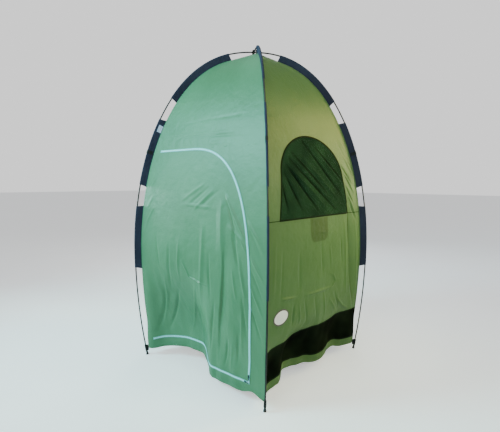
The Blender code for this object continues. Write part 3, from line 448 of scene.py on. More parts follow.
FINISHES = {
    # door_cloth and wall_cloth are one green taffeta. Their base colours differ as painted light: a cool sky tint on
    # the door's side, and a darker, warm tint on the window's side
    "door_cloth": taffeta("green_taffeta_painted_cool_tint", "#477a54", "#538862"),
    "wall_cloth": taffeta("green_taffeta_painted_warm_tint", "#517041", "#5a784a", 0.45, gloss=0.14),
    "sleeve_cloth": taffeta("navy_sleeve_polyester", "#2b2e40", "#3a3e52", 0.75, 18, 2.0, 0.1),
    "window_net": netting("dark_window_net", "#1b3022", "#29442e", 0.62),
    # the vent net is fully closed and near black: painted shade of the dark inside seen through it
    "vent_net": netting("vent_net_painted_dark", "#020402", "#141d12", 1.0),
    "webbing": woven("black_nylon_webbing", "#0a0b0c", "#131518", 2.0),
    "binding": woven("dark_edge_binding", "#0c160c", "#162214", 2.4, gloss=0.03),
    "zip_tape": woven("pale_blue_zip_tape", "#62b0b4", "#84cccc", 1.6, 0.6),
    "label": woven("pale_satin_label", "#b8cbee", "#d2e0fa", 1.2, 0.5),
    "badge": woven("pale_twill_patch", "#dcd8de", "#eeeaf0", 1.8, 0.6),
    "badge_edge": woven("dark_overlock_thread", "#3c2c38", "#5a4250", 1.8, 0.6),
    "seam_thread": woven("dark_green_seam", "#1c3014", "#284420", 2.4, gloss=0.1),
    "fibreglass": moulded("painted_fibreglass", "#060607", "#0b0b0d", 0.6),
    "tip_plastic": moulded("black_moulded_nylon", "#0b0b0c", "#121214", 0.5),
    "zip_metal": moulded("dark_nickel_plate", "#3a3b3e", "#47484c", 0.35, 1.5, 1.0),
    "zip_teeth": moulded("pale_blue_nylon_teeth", "#b4eef4", "#ccf8fc", 0.4, 1.0),
    "floor": moulded("pale_studio_floor", "#e4e6e8", "#eaecee", 0.9, 400, 0.0, 0.0),
}
print("finishes:", len(FINISHES))

# %% Floor
FLOOR_HALF = 40
FLOOR_GLOW = 0.65  # how bright the floor looks by itself, so that it runs into the surroundings unseen
bm = bmesh.new()
bmesh.ops.create_grid(bm, x_segments=1, y_segments=1, size=FLOOR_HALF)
floor_data = bpy.data.meshes.new("floor")
bm.to_mesh(floor_data)
bm.free()
floor_data.materials.append(FINISHES["floor"])
tree = FINISHES["floor"].node_tree
looked_at = add_node(tree, "ShaderNodeLightPath").outputs["Is Camera Ray"]
fill(tree, tree.nodes["Principled BSDF"], {
    "Emission Color": linear("#ffffff"),
    "Emission Strength": reckon(tree, "MULTIPLY", looked_at, FLOOR_GLOW)})
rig.stage(show("floor", floor_data))

# %% [markdown]
# ## The bent poles
# A fibreglass pole that is bent into an arch takes a smooth curve: nearly straight legs that lean in
# towards the ground, and a round crown. Everything else hangs from this curve, so it comes first. One
# pole passes over the other at the top, and rises a little there.


# %% Shapes that come back in many places
def smooth(t):
    """0 up to 0, 1 from 1, and a soft step between them."""
    t = np.clip(t, 0, 1)
    return t * t * (3 - 2 * t)


def fading(z, start, over):
    """1 up to a height, and softly less until it is 0 that far above it."""
    return 1 - smooth((z - start) / over)


def bell(t):
    """1 at 0, falling softly to 0 at 1 and at -1."""
    return np.where(np.abs(t) < 1, np.cos(t * math.pi / 2) ** 2, 0)


def run_along(across, up):
    """How far along a line each of its points is."""
    return np.concatenate([[0], np.cumsum(np.hypot(np.diff(across), np.diff(up)))])


# %% The arch as a curve that can be read at any place along it
def half_arch():
    """Distance from the centre and height of many points from foot to crown."""
    drawn_in = WIDEST_HALF - FOOT_HALF
    radius = (WIDEST_HEIGHT**2 + drawn_in**2) / (2 * drawn_in)
    z = np.linspace(0, WIDEST_HEIGHT, 300)
    low = WIDEST_HALF - (radius - np.sqrt(radius**2 - (z - WIDEST_HEIGHT) ** 2))
    turn = np.linspace(0, math.pi / 2, 1500)[1:]
    high = WIDEST_HALF * np.maximum(np.cos(turn), 0) ** (2 / CROWN_EXPONENT)
    rise = WIDEST_HEIGHT + (ARCH_HEIGHT - WIDEST_HEIGHT) * np.sin(turn)
    return np.concatenate([low, high]), np.concatenate([z, rise])


def whole_arch(over):
    """A pole's curve from foot to foot: run along it, distance from the centre, and height."""
    out, up = half_arch()
    out, up = np.concatenate([out, -out[-2::-1]]), np.concatenate([up, up[-2::-1]])
    if over:
        up = up + CROSSING_LIFT * bell(out / CROSSING_HALF)
    run = run_along(out, up)
    steps = np.linspace(0, run[-1], 1600)
    return steps, np.interp(steps, run, out), np.interp(steps, run, up)


ARCHES = {"lower": whole_arch(False), "upper": whole_arch(True)}
LEG_ARCH = {"left": "lower", "right": "lower", "front": "upper", "rear": "upper"}
LEAN_STEP = 0.004  # how far before and after a place the pole's direction is read


def by_pole(leg, run, x=0.0, y=0.0):
    """Points beside a pole: x out of its arch and y sideways, at places along it from a leg's foot."""
    run, x, y = np.broadcast_arrays(np.asarray(run, float), x, y)
    runs, out, up = ARCHES[LEG_ARCH[leg]]
    lean_out, lean_up = [np.interp(run + LEAN_STEP, runs, c) - np.interp(run - LEAN_STEP, runs, c)
                         for c in (out, up)]
    size = np.hypot(lean_out, lean_up)
    lean_out, lean_up = lean_out / size, lean_up / size
    way = np.array([*LEGS[leg], 0]) / math.sqrt(2)
    above = np.array([0, 0, 1])
    flat, high = np.interp(run, runs, out) + x * lean_up, np.interp(run, runs, up) - x * lean_out
    return flat[..., None] * way + high[..., None] * above + y[..., None] * np.cross(above, way)


def run_at(leg, height):
    """Place along a pole at a height, from a leg's foot."""
    runs, _, up = ARCHES[LEG_ARCH[leg]]
    half = len(runs) // 2
    return float(np.interp(height, up[:half], runs[:half]))


print("pole length:", round(ARCHES["lower"][0][-1], 3))

# %% [markdown]
# ## A wall's shape
# The cloth hangs a hand's width inside the poles. Cut the tent level at any height and the four walls
# make a square, so one number per height gives their place: half the square's width. Slack cloth is
# drawn in low down, in a few deep folds, and the same folds lift the hem. On top of these come the
# creases that the photograph shows, a soft ripple and the facets of cloth that has been in its bag.

# %% The square's half width at each height
corner_runs = ARCHES["lower"][0][:len(ARCHES["lower"][0]) // 2]
corner_out, corner_up = [np.interp(corner_runs, ARCHES["lower"][0], ARCHES["lower"][i]) for i in (1, 2)]
lean_out, lean_up = np.gradient(corner_out), np.gradient(corner_up)
lean = np.hypot(lean_out, lean_up)
above_hem = smooth((corner_up - HEM_HEIGHT) / (HEM_INSET_TOP - HEM_HEIGHT))
inset = HEM_INSET + (SLEEVE_WIDTH - HEM_INSET) * above_hem
CORNER_HALF = (corner_out - inset * lean_up / lean) / math.sqrt(2)
CORNER_HEIGHT = corner_up + inset * lean_out / lean
WIDEST = int(np.argmax(CORNER_HALF))


def wall_half(z):
    return np.interp(z, CORNER_HEIGHT, CORNER_HALF)


def wall_edge(z):
    """Where a wall's cloth ends, just short of the corner."""
    return wall_half(z) - CORNER_GAP


def height_for_half(half):
    return np.interp(-np.asarray(half), -CORNER_HALF[WIDEST:], CORNER_HEIGHT[WIDEST:])


TOP_ROW = float(height_for_half(TOP_HOLE_HALF))
print("widest wall:", round(2 * float(CORNER_HALF.max()), 3), "cloth crown at", round(TOP_ROW, 3))

# %% Folds: place along, depth inwards, and width before and after it
FOLDS = {
    "door": [(-0.380, 0.050, 0.106, 0.300), (-0.100, 0.117, 0.386, 0.230)],
    "window": [(-0.428, 0.053, 0.120, 0.180), (-0.203, 0.092, 0.175, 0.400),
               (0.265, 0.053, 0.250, 0.195)],
    "back": [(-0.220, 0.055, 0.200, 0.220), (0.240, 0.040, 0.180, 0.200)],
    "left": [(-0.150, 0.045, 0.250, 0.180), (0.260, 0.050, 0.170, 0.190)],
}
FOLD_TOP = {"door": 0.700, "window": 0.415, "back": 0.700, "left": 0.700}
FOLD_FULL = 0.125  # below this height the folds have their full depth
FOLD_LIFT = 0.35  # how much a fold lifts the cloth, as a share of its depth
FOLD_FADE = 8  # the higher, the closer to a corner the cloth is still free
WALL_TURNS = {"door": 0, "window": 1, "back": 2, "left": 3}

# %% Creases that were placed from the photograph, in mm
# Each has its depth (less than 0 stands proud), its half width (where it is steep on one side only,
# one for the side before it and one for the side after it), and the places along and up that it runs
# through. The depth and the places are those of the cloth as it hangs.
CREASES = {
    "door": [
        (5, 11, -420, 1390, 0, 1392, 360, 1380), (-4, 11, -400, 1418, 160, 1400),
        (3.5, 12, -300, 1470, 0, 1486, 300, 1490), (-2.5, 12, -200, 1352, 200, 1345),
        (13, (9, 80), 226, 790, 220, 680, 206, 520, 180, 340, 170, 200),
        (-6, 40, 192, 1060, 200, 900, 210, 700), (-12, 13, 214, 1074, 318, 930, 400, 810),
        (-9, 11, 258, 906, 344, 848, 385, 780), (9, 13, 280, 872, 328, 704),
        (9, 13, 230, 1040, 290, 900, 312, 790), (-10, 11, 380, 950, 440, 870, 500, 785),
        (8, 11, 400, 890, 480, 766), (-10, 11, 395, 790, 505, 635), (8, 12, 400, 720, 490, 560),
        (-9, 11, 395, 655, 490, 470), (8, 12, 400, 530, 475, 350), (-9, 14, 330, 760, 372, 560),
        (8, 14, 352, 560, 376, 330), (-6, 10, -482, 808, -440, 900, -386, 978),
        (-4, 10, -470, 950, -400, 1050), (-4, 12, -441, 1082, -384, 1169), (-6, 9, -105, 1008, 110, 998),
        (-4, 13, -124, 1030, 56, 1128), (-4.5, 13, -24, 978, 122, 1092), (3.5, 14, -70, 1000, 95, 1110),
        (3, 13, 40, 1000, 160, 1090), (-10, 9, -115, 680, -86, 640, -62, 586, 20, 574, 98, 568),
        (7, 20, -228, 760, -240, 640, -262, 456), (-5, 16, -140, 800, -160, 540),
        (11, 24, -330, 470, -348, 370, -418, 162), (9, 20, -200, 470, -238, 382, -350, 166),
        (-6, 16, -290, 560, -310, 420, -390, 200), (-6, 10, 286, 686, 312, 534),
        (-7, 16, -16, 546, -90, 360, -174, 172), (7, 12, 246, 312, 230, 220, 216, 152),
        (6, 12, 320, 350, 304, 164), (-5, 11, 278, 300, 262, 150), (5, 14, 108, 760, 112, 620, 120, 494),
        (7, 15, 152, 502, 130, 380, 102, 200), (-6, 26, 60, 900, 50, 640, 20, 400),
        (5, 16, -360, 800, -330, 620), (-5, 12, 348, 480, 340, 240), (6, 14, -60, 420, -80, 200),
    ],
    "window": [
        (22, (26, 90), 328, 990, 334, 900, 350, 740, 376, 540, 440, 330),
        (-7, 18, 430, 900, 452, 640, 470, 420), (-5, 24, 285, 900, 300, 640, 330, 420),
        (-8, 10, 104, 598, 150, 578, 172, 542, 140, 515, 100, 508), (-8, 12, 124, 508, 18, 512, -166, 520),
        (-9, 11, -246, 530, -384, 546), (8, 13, -270, 492, -276, 384), (7, 13, -164, 494, -122, 352),
        (-6, 12, -220, 480, -200, 360), (5, 14, -60, 490, -20, 350), (-6, 14, 40, 500, 80, 340),
        (-7, 12, 112, 440, 190, 360, 252, 310), (-8, 13, 200, 430, 300, 350, 380, 310),
        (7, 13, 170, 470, 240, 360), (10, 11, 288, 1246, 350, 1190, 420, 1120),
        (10, 11, 330, 1110, 410, 1010), (9, 11, 370, 1000, 430, 900), (9, 11, 386, 1294, 492, 1166),
        (-9, 12, 320, 1200, 430, 1075), (-8, 12, 350, 1300, 470, 1150), (-9, 12, 350, 1060, 450, 910),
        (6, 11, 290, 1400, 370, 1290), (-4, 12, 300, 1440, 400, 1330), (4, 14, -380, 800, -392, 548),
        (-4, 18, -440, 860, -460, 560), (-2.5, 10, -40, 858, 50, 850, 122, 878), (-2, 9, 72, 824, 134, 848),
        (4, 20, -227, 780, -222, 560), (4, 18, 0, 790, 20, 600), (5, 14, 230, 800, 250, 640),
        (-4, 14, 100, 760, 120, 640), (9, 20, -110, 1360, 262, 1055), (10, 22, -265, 1258, 171, 979),
        (10, 22, -302, 1227, -30, 983), (8, 20, -324, 1183, -190, 990), (6, 18, -357, 1140, -319, 990),
        (-8, 20, -40, 1345, 285, 1120), (-9, 22, -190, 1300, 220, 1025), (-9, 20, -285, 1220, 70, 985),
    ],
    "back": [
        (9, 26, -300, 950, -240, 650, -180, 300), (9, (24, 60), 300, 1000, 260, 700, 200, 350),
        (-7, 24, 20, 900, 60, 350), (5, 11, -400, 1390, 380, 1400), (-4, 11, -400, 1420, 300, 1428),
        (-6, 9, -380, 1000, -100, 990), (-8, 9, 60, 640, 200, 600, 340, 610), (9, 18, 380, 560, 420, 200),
        (7, 16, -100, 520, -60, 200), (-6, 16, -420, 860, -380, 560), (7, 14, 120, 480, 140, 180),
        (-6, 16, -280, 440, -320, 180),
    ],
    "left": [
        (9, 24, -280, 900, -220, 640, -160, 300), (9, (12, 60), 240, 950, 250, 680, 270, 380),
        (-7, 24, 40, 900, 0, 450), (5, 11, -390, 1395, 390, 1385), (-4, 11, -360, 1424, 300, 1416),
        (-6, 9, -200, 1000, 120, 1010), (-8, 9, -340, 560, -180, 590, -40, 580),
        (7, 14, 100, 540, 120, 200), (9, 18, -400, 520, -420, 200), (-6, 14, 400, 860, 440, 600),
        (-6, 16, 340, 480, 320, 180), (6, 14, -80, 460, -70, 180),
    ],
}
CREASE_ENDS, CREASE_SIDES = 0.6, 1.6  # how blunt a crease's ends are, and how sharp its middle line is


# %% How far the creases push the cloth in
def beside(start, end, along, z):
    """How far along a straight line places lie, from 0 to 1, and how far off it along and up."""
    (a0, z0), (a1, z1) = start, end
    da, dz = a1 - a0, z1 - z0
    t = np.clip(((along - a0) * da + (z - z0) * dz) / (da * da + dz * dz), 0, 1)
    return t, along - a0 - t * da, z - z0 - t * dz


def crease_depth(wall, along, z):
    """Creases with a sharp middle line that fade at both ends."""
    depth = np.zeros_like(along)
    for deep, half, *places in CREASES[wall]:
        before, after = half if isinstance(half, tuple) else (half, half)
        line = np.array(places).reshape(-1, 2) / 1000
        run = run_along(*line.T)
        away, place, beyond = np.full_like(along, np.inf), np.zeros_like(along), np.zeros_like(along)
        for i in range(len(line) - 1):
            t, off_along, off_up = beside(line[i], line[i + 1], along, z)
            gap = np.hypot(off_along, off_up)
            near = gap < away
            away = np.where(near, gap, away)
            place = np.where(near, (run[i] + t * (run[i + 1] - run[i])) / run[-1], place)
            beyond = np.where(near, off_along, beyond)
        taper = np.sin(math.pi * np.clip(place, 0.02, 0.98)) ** CREASE_ENDS
        side = np.clip(1 - away * 1000 / np.where(beyond > 0, after, before), 0, 1) ** CREASE_SIDES
        depth += deep / 1000 * taper * side
    return depth


# %% How far the soft shapes push it in: each has a height in m, and waves to a metre along and up
SWELL, RUFFLE, DRAPES = (0.0036, 5.5, 1.8), (0.0012, 19, 10), (0.0070, 15, 1.3)
RIDGES, FINE_RIDGES, FACETS = (0.0034, 11, 2.2), (0.0012, 27, 4.5), (0.0060, 9, 5.5)
FACET_FLAT = 0.6  # a facet's middle is flat from here
SLACK = {"door": 0.85, "window": 0.6, "back": 1.0, "left": 1.0}  # how much of them each wall has
TAUT = 0.20  # how much of the others is left high up
SLACK_FADE, DRAPES_FADE = (0.25, 0.90), (0.10, 0.55)  # from which height, and over how much


def soft_depth(wall, along, z):
    """A slow swell, upright drapes near the hem, and flat facets with sharp ridges between them."""
    offset = 10.0 * WALL_TURNS[wall]
    places = list(zip(along.tolist(), z.tolist()))

    def waves(shape, depth=0):
        height, across, up = shape
        spots = [Vector((a * across + offset, h * up, depth + offset)) for a, h in places]
        return height * np.array([noise.noise(spot) for spot in spots])

    height, across, up = FACETS
    cells = [noise.voronoi(Vector((a * across + offset, h * up, offset)))[0] for a, h in places]
    facets = height * np.array([min(near[1] - near[0], FACET_FLAT) for near in cells])
    ridges = np.abs(waves(RIDGES, 3)) + np.abs(waves(FINE_RIDGES, 7))
    slack = TAUT + (1 - TAUT) * fading(z, *SLACK_FADE)
    drapes = fading(z, *DRAPES_FADE) * waves(DRAPES)
    return SLACK[wall] * (slack * (waves(SWELL) + waves(RUFFLE) + ridges - facets) + drapes)


# %% How much the zip and its sliders hold the cloth flat
SLIDERS_NEAR = (0.375, 0.130)
ZIP_CALM, ZIP_LOOSE = 0.03, 0.35  # how far the zip calms the cloth, and how loose it is on the zip's line
SLIDERS_CALM = 0.06
TOP_CALM = 0.25
CORNER_REACH = 0.6  # metres to one step of the measure that draws the door's round corner


def zip_distance(along, z):
    """Distance from the door's zip line, near enough for a soft fade."""
    tall, wide = DOOR_TOP - DOOR_SIDE_HEIGHT, DOOR_SIDE - DOOR_CROWN
    v = np.clip((z - DOOR_SIDE_HEIGHT) / tall, 0, 1)
    u = np.clip((along - DOOR_CROWN) / wide, 0, None)
    corner = np.abs((u**DOOR_CROWN_EXPONENT + v**DOOR_CROWN_EXPONENT) ** (1 / DOOR_CROWN_EXPONENT) - 1)
    side = np.where(z > DOOR_SIDE_HEIGHT, corner * CORNER_REACH, np.abs(along - (DOOR_TOE + DOOR_SIDE) / 2))
    top = np.hypot(np.clip(along - DOOR_CROWN, 0, None), z - DOOR_TOP)
    low = np.hypot(np.clip(along - DOOR_TOE, 0, None), z - DOOR_BOTTOM)
    return np.minimum(np.minimum(side, top), low)


def free_share(along, z):
    """1 over most of a wall and 0 at its corners, where the seams hold it."""
    return 1 - np.minimum(np.abs(along) / wall_half(z), 1) ** FOLD_FADE


def loose_share(wall, along, z):
    """How much of the small shapes there is at a place."""
    share = free_share(along, z) * np.clip((TOP_ROW - z) / TOP_CALM, 0, 1)
    if wall == "door":
        from_sliders = np.hypot(along - SLIDERS_NEAR[0], z - SLIDERS_NEAR[1])
        share = share * (ZIP_LOOSE + (1 - ZIP_LOOSE) * smooth(zip_distance(along, z) / ZIP_CALM))
        share = share * smooth((from_sliders - ZIP_CALM) / SLIDERS_CALM)
    return share


# %% From flat pattern to hanging cloth
HEM_WAVE, HEM_WAVES = 0.011, 13  # how far the hems go up and down, and how many waves to a metre
HEM_FADE = (0.06, 0.32)


def fold_depth(wall, along, z):
    """How far the deep folds draw the cloth in."""
    fold = sum(deep * bell((along - place) / np.where(along > place, after, before))
               for place, deep, before, after in FOLDS[wall])
    return fold * fading(z, FOLD_FULL, FOLD_TOP[wall] - FOLD_FULL) * free_share(along, z)


def on_wall(wall, along, z, out=0.0):
    """Points of a wall's cloth, or that far out from it, from places in arrays of any shape."""
    shape = np.shape(along)
    along, z = np.ravel(along).astype(float), np.ravel(z).astype(float)
    fold = fold_depth(wall, along, z)
    small = (crease_depth(wall, along, z) + soft_depth(wall, along, z)) * loose_share(wall, along, z)
    wave = np.zeros_like(along)
    if wall != "door":
        spots = [Vector((a * HEM_WAVES, 20.0 * WALL_TURNS[wall], 5)) for a in along.tolist()]
        wave = HEM_WAVE * np.array([noise.noise(spot) for spot in spots])
        wave = wave * fading(z, *HEM_FADE) * free_share(along, z)
    flat = np.stack([along, -(wall_half(z) - fold - small + out), z + FOLD_LIFT * fold + wave], -1)
    turn = np.array(Matrix.Rotation(WALL_TURNS[wall] * math.pi / 2, 3, "Z"))
    return (flat @ turn.T).reshape(*shape, 3)


print("door cloth at its deepest fold:", [round(float(c), 3) for c in on_wall("door", [-0.1], [0.12])[0]])


# %% [markdown]
# ## One way to make every cloth piece
# A sheet of cloth is a grid. The operator makes a flat one, each of its points is then moved to its
# place, the squares that an opening takes are deleted, and a Solidify modifier gives it thickness.
# The flat pattern's own measures are kept as its UV map, so that threads run the way they were woven.

# %% Grid, place, thickness
def finish_piece(bm, name, finish, thickness=0.0, offset=0.0):
    """Turns a bmesh into a smooth object with its finish, and gives a sheet its thickness."""
    for face in bm.faces:
        face.smooth = True
    for edge in bm.edges:
        edge.smooth = not edge.is_boundary  # cut edges stay crisp
    mesh = bpy.data.meshes.new(name)
    bm.to_mesh(mesh)
    bm.free()
    mesh.materials.append(FINISHES[finish])
    made = show(name, mesh)
    if thickness:
        solid = made.modifiers.new("thickness", "SOLIDIFY")
        solid.thickness, solid.offset = thickness, offset
    return made


def cloth_grid(name, place, pattern, finish, keep=None, thickness=CLOTH, offset=0.0, merge=False):
    """A sheet whose points are place[row, column] in space and pattern[row, column] on its cut."""
    rows, columns = place.shape[0] - 1, place.shape[1] - 1
    bm = bmesh.new()
    bmesh.ops.create_grid(bm, x_segments=columns, y_segments=rows, size=0.5)
    spots = np.array([v.co for v in bm.verts])
    column = np.rint((spots[:, 0] + 0.5) * columns).astype(int)
    row = np.rint((spots[:, 1] + 0.5) * rows).astype(int)
    dropped = []
    if keep is not None:
        centres = np.array([f.calc_center_median() for f in bm.faces]) + 0.5
        kept = keep[(centres[:, 1] * rows).astype(int), (centres[:, 0] * columns).astype(int)]
        dropped = [f for f, k in zip(bm.faces, kept) if not k]
    layer = bm.loops.layers.uv.new("cloth")
    for vert, point, spot in zip(bm.verts, place[row, column], pattern[row, column].tolist()):
        vert.co = point
        for loop in vert.link_loops:
            loop[layer].uv = spot
    if dropped:
        bmesh.ops.delete(bm, geom=dropped, context="FACES")
    if merge:
        bmesh.ops.remove_doubles(bm, verts=bm.verts, dist=0.00001)
        bmesh.ops.recalc_face_normals(bm, faces=bm.faces)
    return finish_piece(bm, name, finish, thickness, offset)


def wall_sheet(name, wall, along, z, finish, keep=None, out=0.0):
    """Cloth on a wall from its places along and its heights, both as [row, column]."""
    return cloth_grid(name, on_wall(wall, along, z, out), np.stack([along, z], -1), finish, keep)


# %% Rows, columns and patterns
def even(start, end, count):
    """Count + 1 places from each start to each end, as [row, column]."""
    return start[:, None] + (end - start)[:, None] * np.linspace(0, 1, count + 1)[None, :]


def repeated(values, count):
    return np.repeat(np.asarray(values)[:, None], count, 1)


def tape_pattern(across, run):
    """The cut of a tape or a tube: its places across at each place along its run."""
    return np.stack(np.broadcast_arrays(across, np.asarray(run)[:, None]), -1)


def cut_area(along, z, keep=None):
    """Area of a pattern in square metres, from its flat places."""
    first = (along[1:, 1:] - along[:-1, :-1]) * (z[1:, :-1] - z[:-1, 1:])
    second = (along[1:, :-1] - along[:-1, 1:]) * (z[1:, 1:] - z[:-1, :-1])
    cells = np.abs(first - second) / 2
    return float((cells if keep is None else cells * keep).sum())


# %% Each piece's body, slot and solid, and a sheet's cut
TRIMS = {"door": [], "flap": [], "window": [], "back": [], "left": []}  # narrow tapes on each cloth
HINGE_BEND = ((DOOR_HINGE, -0.5, 0.7), (DOOR_HINGE + 0.10, -0.5, 0.7))  # cloth bends from here to there


def dress(piece, slot, replaces=None, body="tent_body", **cut):
    """Says which body a piece rides, which slot it takes, which solid it stands for, and what a sheet
    was cut to. What goes with the door bends from the wall to the door."""
    if body == "door":
        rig.blend(piece, "tent_body", "door", start=HINGE_BEND[0], end=HINGE_BEND[1])
    else:
        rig.ride(piece, body)
    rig.slot(piece, slot)
    if replaces:
        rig.replaces(piece, replaces)
    if cut:
        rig.sheet(piece, **cut)
    return piece


# %% [markdown]
# ## The door's outline
# The zip runs level from the hinge line, turns down in a wide round corner, follows the side almost
# straight, and comes back along the bottom. A "superellipse" draws such a corner: it is rounder than
# a circle and still runs smoothly into both straight sides. The door has no hinge seam. It is one
# cloth with the wall, so its edge there meets the wall's cloth without a gap.

# %% The zip's line and the hinge line
def door_edge(z):
    """Where the zip is at each height, with the direction out of the door."""
    z = np.asarray(z, float)
    slope = (DOOR_SIDE - DOOR_TOE) / (DOOR_SIDE_HEIGHT - DOOR_BOTTOM)
    wide, tall = DOOR_SIDE - DOOR_CROWN, DOOR_TOP - DOOR_SIDE_HEIGHT
    v = np.clip((z - DOOR_SIDE_HEIGHT) / tall, 0, 1)
    u = (1 - v**DOOR_CROWN_EXPONENT) ** (1 / DOOR_CROWN_EXPONENT)
    straight = z <= DOOR_SIDE_HEIGHT
    along = np.where(straight, DOOR_TOE + (z - DOOR_BOTTOM) * slope, DOOR_CROWN + wide * u)
    power = DOOR_CROWN_EXPONENT - 1
    across = np.where(straight, 1.0, u**power / wide)
    up = np.where(straight, -slope, v**power / tall)
    size = np.hypot(across, up)
    return along, across / size, up / size


def hinge_line(z):
    """Where the door's cloth starts to bend, following the tent's side."""
    return DOOR_HINGE - HINGE_SLANT * np.clip((DOOR_TOP - np.asarray(z)) / (DOOR_TOP - DOOR_BOTTOM), 0, 1)


def opening_heights():
    """Heights of the door's rows, closer together round the top corner."""
    tall = DOOR_TOP - DOOR_SIDE_HEIGHT
    low = np.linspace(DOOR_BOTTOM, DOOR_SIDE_HEIGHT, 80)
    turn = np.radians(np.linspace(12, 90, 110))
    high = DOOR_SIDE_HEIGHT + tall * np.sin(turn) ** (2 / DOOR_CROWN_EXPONENT)
    middle = np.linspace(DOOR_SIDE_HEIGHT, high[0], 46)[1:-1]
    return np.concatenate([low, middle, high])


DOOR_Z = opening_heights()
DOOR_COLUMNS, LEFT_COLUMNS, RIGHT_COLUMNS = 166, 14, 34
SPREAD_OVER = 0.14  # from the door's top to where the wall's columns are evenly spread
ABOVE_DOOR = 0.008  # from the door's top to the level rows
print("rows in the door:", len(DOOR_Z))


# %% The fixed cloth round the door
def door_wall_lines():
    """The places along and the heights of the wall's grid, what of it stays, and its rows in the hem."""
    along, across, up = door_edge(DOOR_Z[1:-1])
    hem = np.linspace(HEM_HEIGHT, DOOR_BOTTOM - SEAM, 11)
    crown = np.concatenate([[DOOR_TOP + SEAM], np.linspace(DOOR_TOP + ABOVE_DOOR, TOP_ROW, 90)])
    z = np.concatenate([hem, DOOR_Z[1:-1] + SEAM * up, crown])
    zip_out = np.concatenate([np.full(len(hem), DOOR_TOE + SEAM), along + SEAM * across,
                              np.full(len(crown), DOOR_CROWN)])
    base = np.minimum(z, DOOR_TOP + SEAM)
    edge, hinge = wall_edge(base), hinge_line(base)
    columns = np.hstack([even(-edge, hinge, LEFT_COLUMNS)[:, :-1],
                         even(hinge, zip_out, DOOR_COLUMNS)[:, :-1], even(zip_out, edge, RIGHT_COLUMNS)])
    columns *= (wall_edge(z) / edge)[:, None]
    spread = even(-wall_edge(z), wall_edge(z), columns.shape[1] - 1)
    mix = smooth((z - DOOR_TOP - SEAM) / SPREAD_OVER)[:, None]
    keep = np.ones((len(z) - 1, columns.shape[1] - 1), bool)
    keep[len(hem) - 1:len(hem) + len(DOOR_Z) - 2, LEFT_COLUMNS:LEFT_COLUMNS + DOOR_COLUMNS] = False
    return columns * (1 - mix) + spread * mix, repeated(z, columns.shape[1]), keep, len(hem)


SCALLOP = (0.405, 0.022, 0.080)  # place, rise and half width of the hem's arch at the front corner


def scallop_rise(along):
    return SCALLOP[1] * bell((along - SCALLOP[0]) / SCALLOP[2])


door_along, door_heights, door_keep, hem_rows = door_wall_lines()
fade = np.linspace(1, 0.1, hem_rows - 1)[:, None]
door_heights[:hem_rows - 1] += scallop_rise(door_along[0])[None, :] * fade
door_wall = wall_sheet("door_wall_cloth", "door", door_along, door_heights, "door_cloth", door_keep)
dress(door_wall, "door_cloth", "door_wall")
print("door wall points:", len(door_wall.data.vertices))

# %% [markdown]
# ## The door
# In a rigid model the door turns about an upright line. Real cloth bends along its edge, so the first
# hand's width of the flap follows the wall and the rest follows the door: the blend does that.

# %% Door flap
edge_along, edge_across, edge_up = door_edge(DOOR_Z)
flap_right = edge_along - SEAM * edge_across
flap_z = DOOR_Z - SEAM * edge_up
flap_right[0], flap_z[0] = DOOR_TOE - SEAM, DOOR_BOTTOM + SEAM
flap_right[-1], flap_z[-1] = DOOR_CROWN, DOOR_TOP - SEAM
flap_along = even(hinge_line(flap_z), flap_right, DOOR_COLUMNS)
flap_heights = repeated(flap_z, flap_along.shape[1])
door_flap = wall_sheet("door_flap_cloth", "door", flap_along, flap_heights, "door_cloth")
dress(door_flap, "door_cloth", "door_flap", "door")

# %% [markdown]
# ## The zip
# A tent zip is two woven tapes with a row of nylon teeth on each. Seen from some steps away it is one
# pale line. Here the tapes are strips that lie on the cloth, and each tooth is a small block, set out
# at an even pitch along the line and turned with it. The two rows are half a pitch apart.

# %% The zip's path as points with a direction out of the door
ZIP_START = 0.002  # from the hinge line to the zip's ends
ZIP_TOP_POINTS, ZIP_LOW_POINTS = 34, 100
ZIP_TOE_GAP = 0.010  # from the lower corner to the first point along the bottom
TAPE_EDGES = np.array([SEAM, 0.0028, 0.0046, SEAM + TAPE_WIDTH])  # out from the zip's line


def zip_path():
    z = DOOR_Z[1:-1][::-1]
    along, across, up = door_edge(z)
    top = np.linspace(float(hinge_line(DOOR_TOP)) + ZIP_START, DOOR_CROWN, ZIP_TOP_POINTS)
    low = np.linspace(DOOR_TOE - ZIP_TOE_GAP, float(hinge_line(DOOR_BOTTOM)) + ZIP_START, ZIP_LOW_POINTS)
    level_parts = [np.stack(np.broadcast_arrays(line, height, 0, way), 1)
                   for line, height, way in ((top, DOOR_TOP, 1), (low, DOOR_BOTTOM, -1))]
    return np.vstack([level_parts[0], np.stack([along, z, across, up], 1),
                      [[DOOR_TOE, DOOR_BOTTOM, 1, -1]], level_parts[1]])


ZIP = zip_path()
ZIP_RUN = run_along(*ZIP[:, :2].T)
ZIP_SIDES = {"door": (-1, "flap", "door"), "fixed": (1, "wall", "tent_body")}  # way out, solid and body

for name, (side, node, body) in ZIP_SIDES.items():
    along, z = ZIP[:, :1] + side * TAPE_EDGES * ZIP[:, 2:3], ZIP[:, 1:2] + side * TAPE_EDGES * ZIP[:, 3:4]
    tape = cloth_grid(f"zip_tape_{name}", on_wall("door", along, z, TAPE_OUT),
                      tape_pattern(TAPE_EDGES, ZIP_RUN), "zip_tape", thickness=TAPE_THICKNESS)
    TRIMS["flap" if side < 0 else "door"].append(dress(tape, "zip_tape", f"zip_tape_{node}", body))
print("zip length:", round(float(ZIP_RUN[-1]), 3))

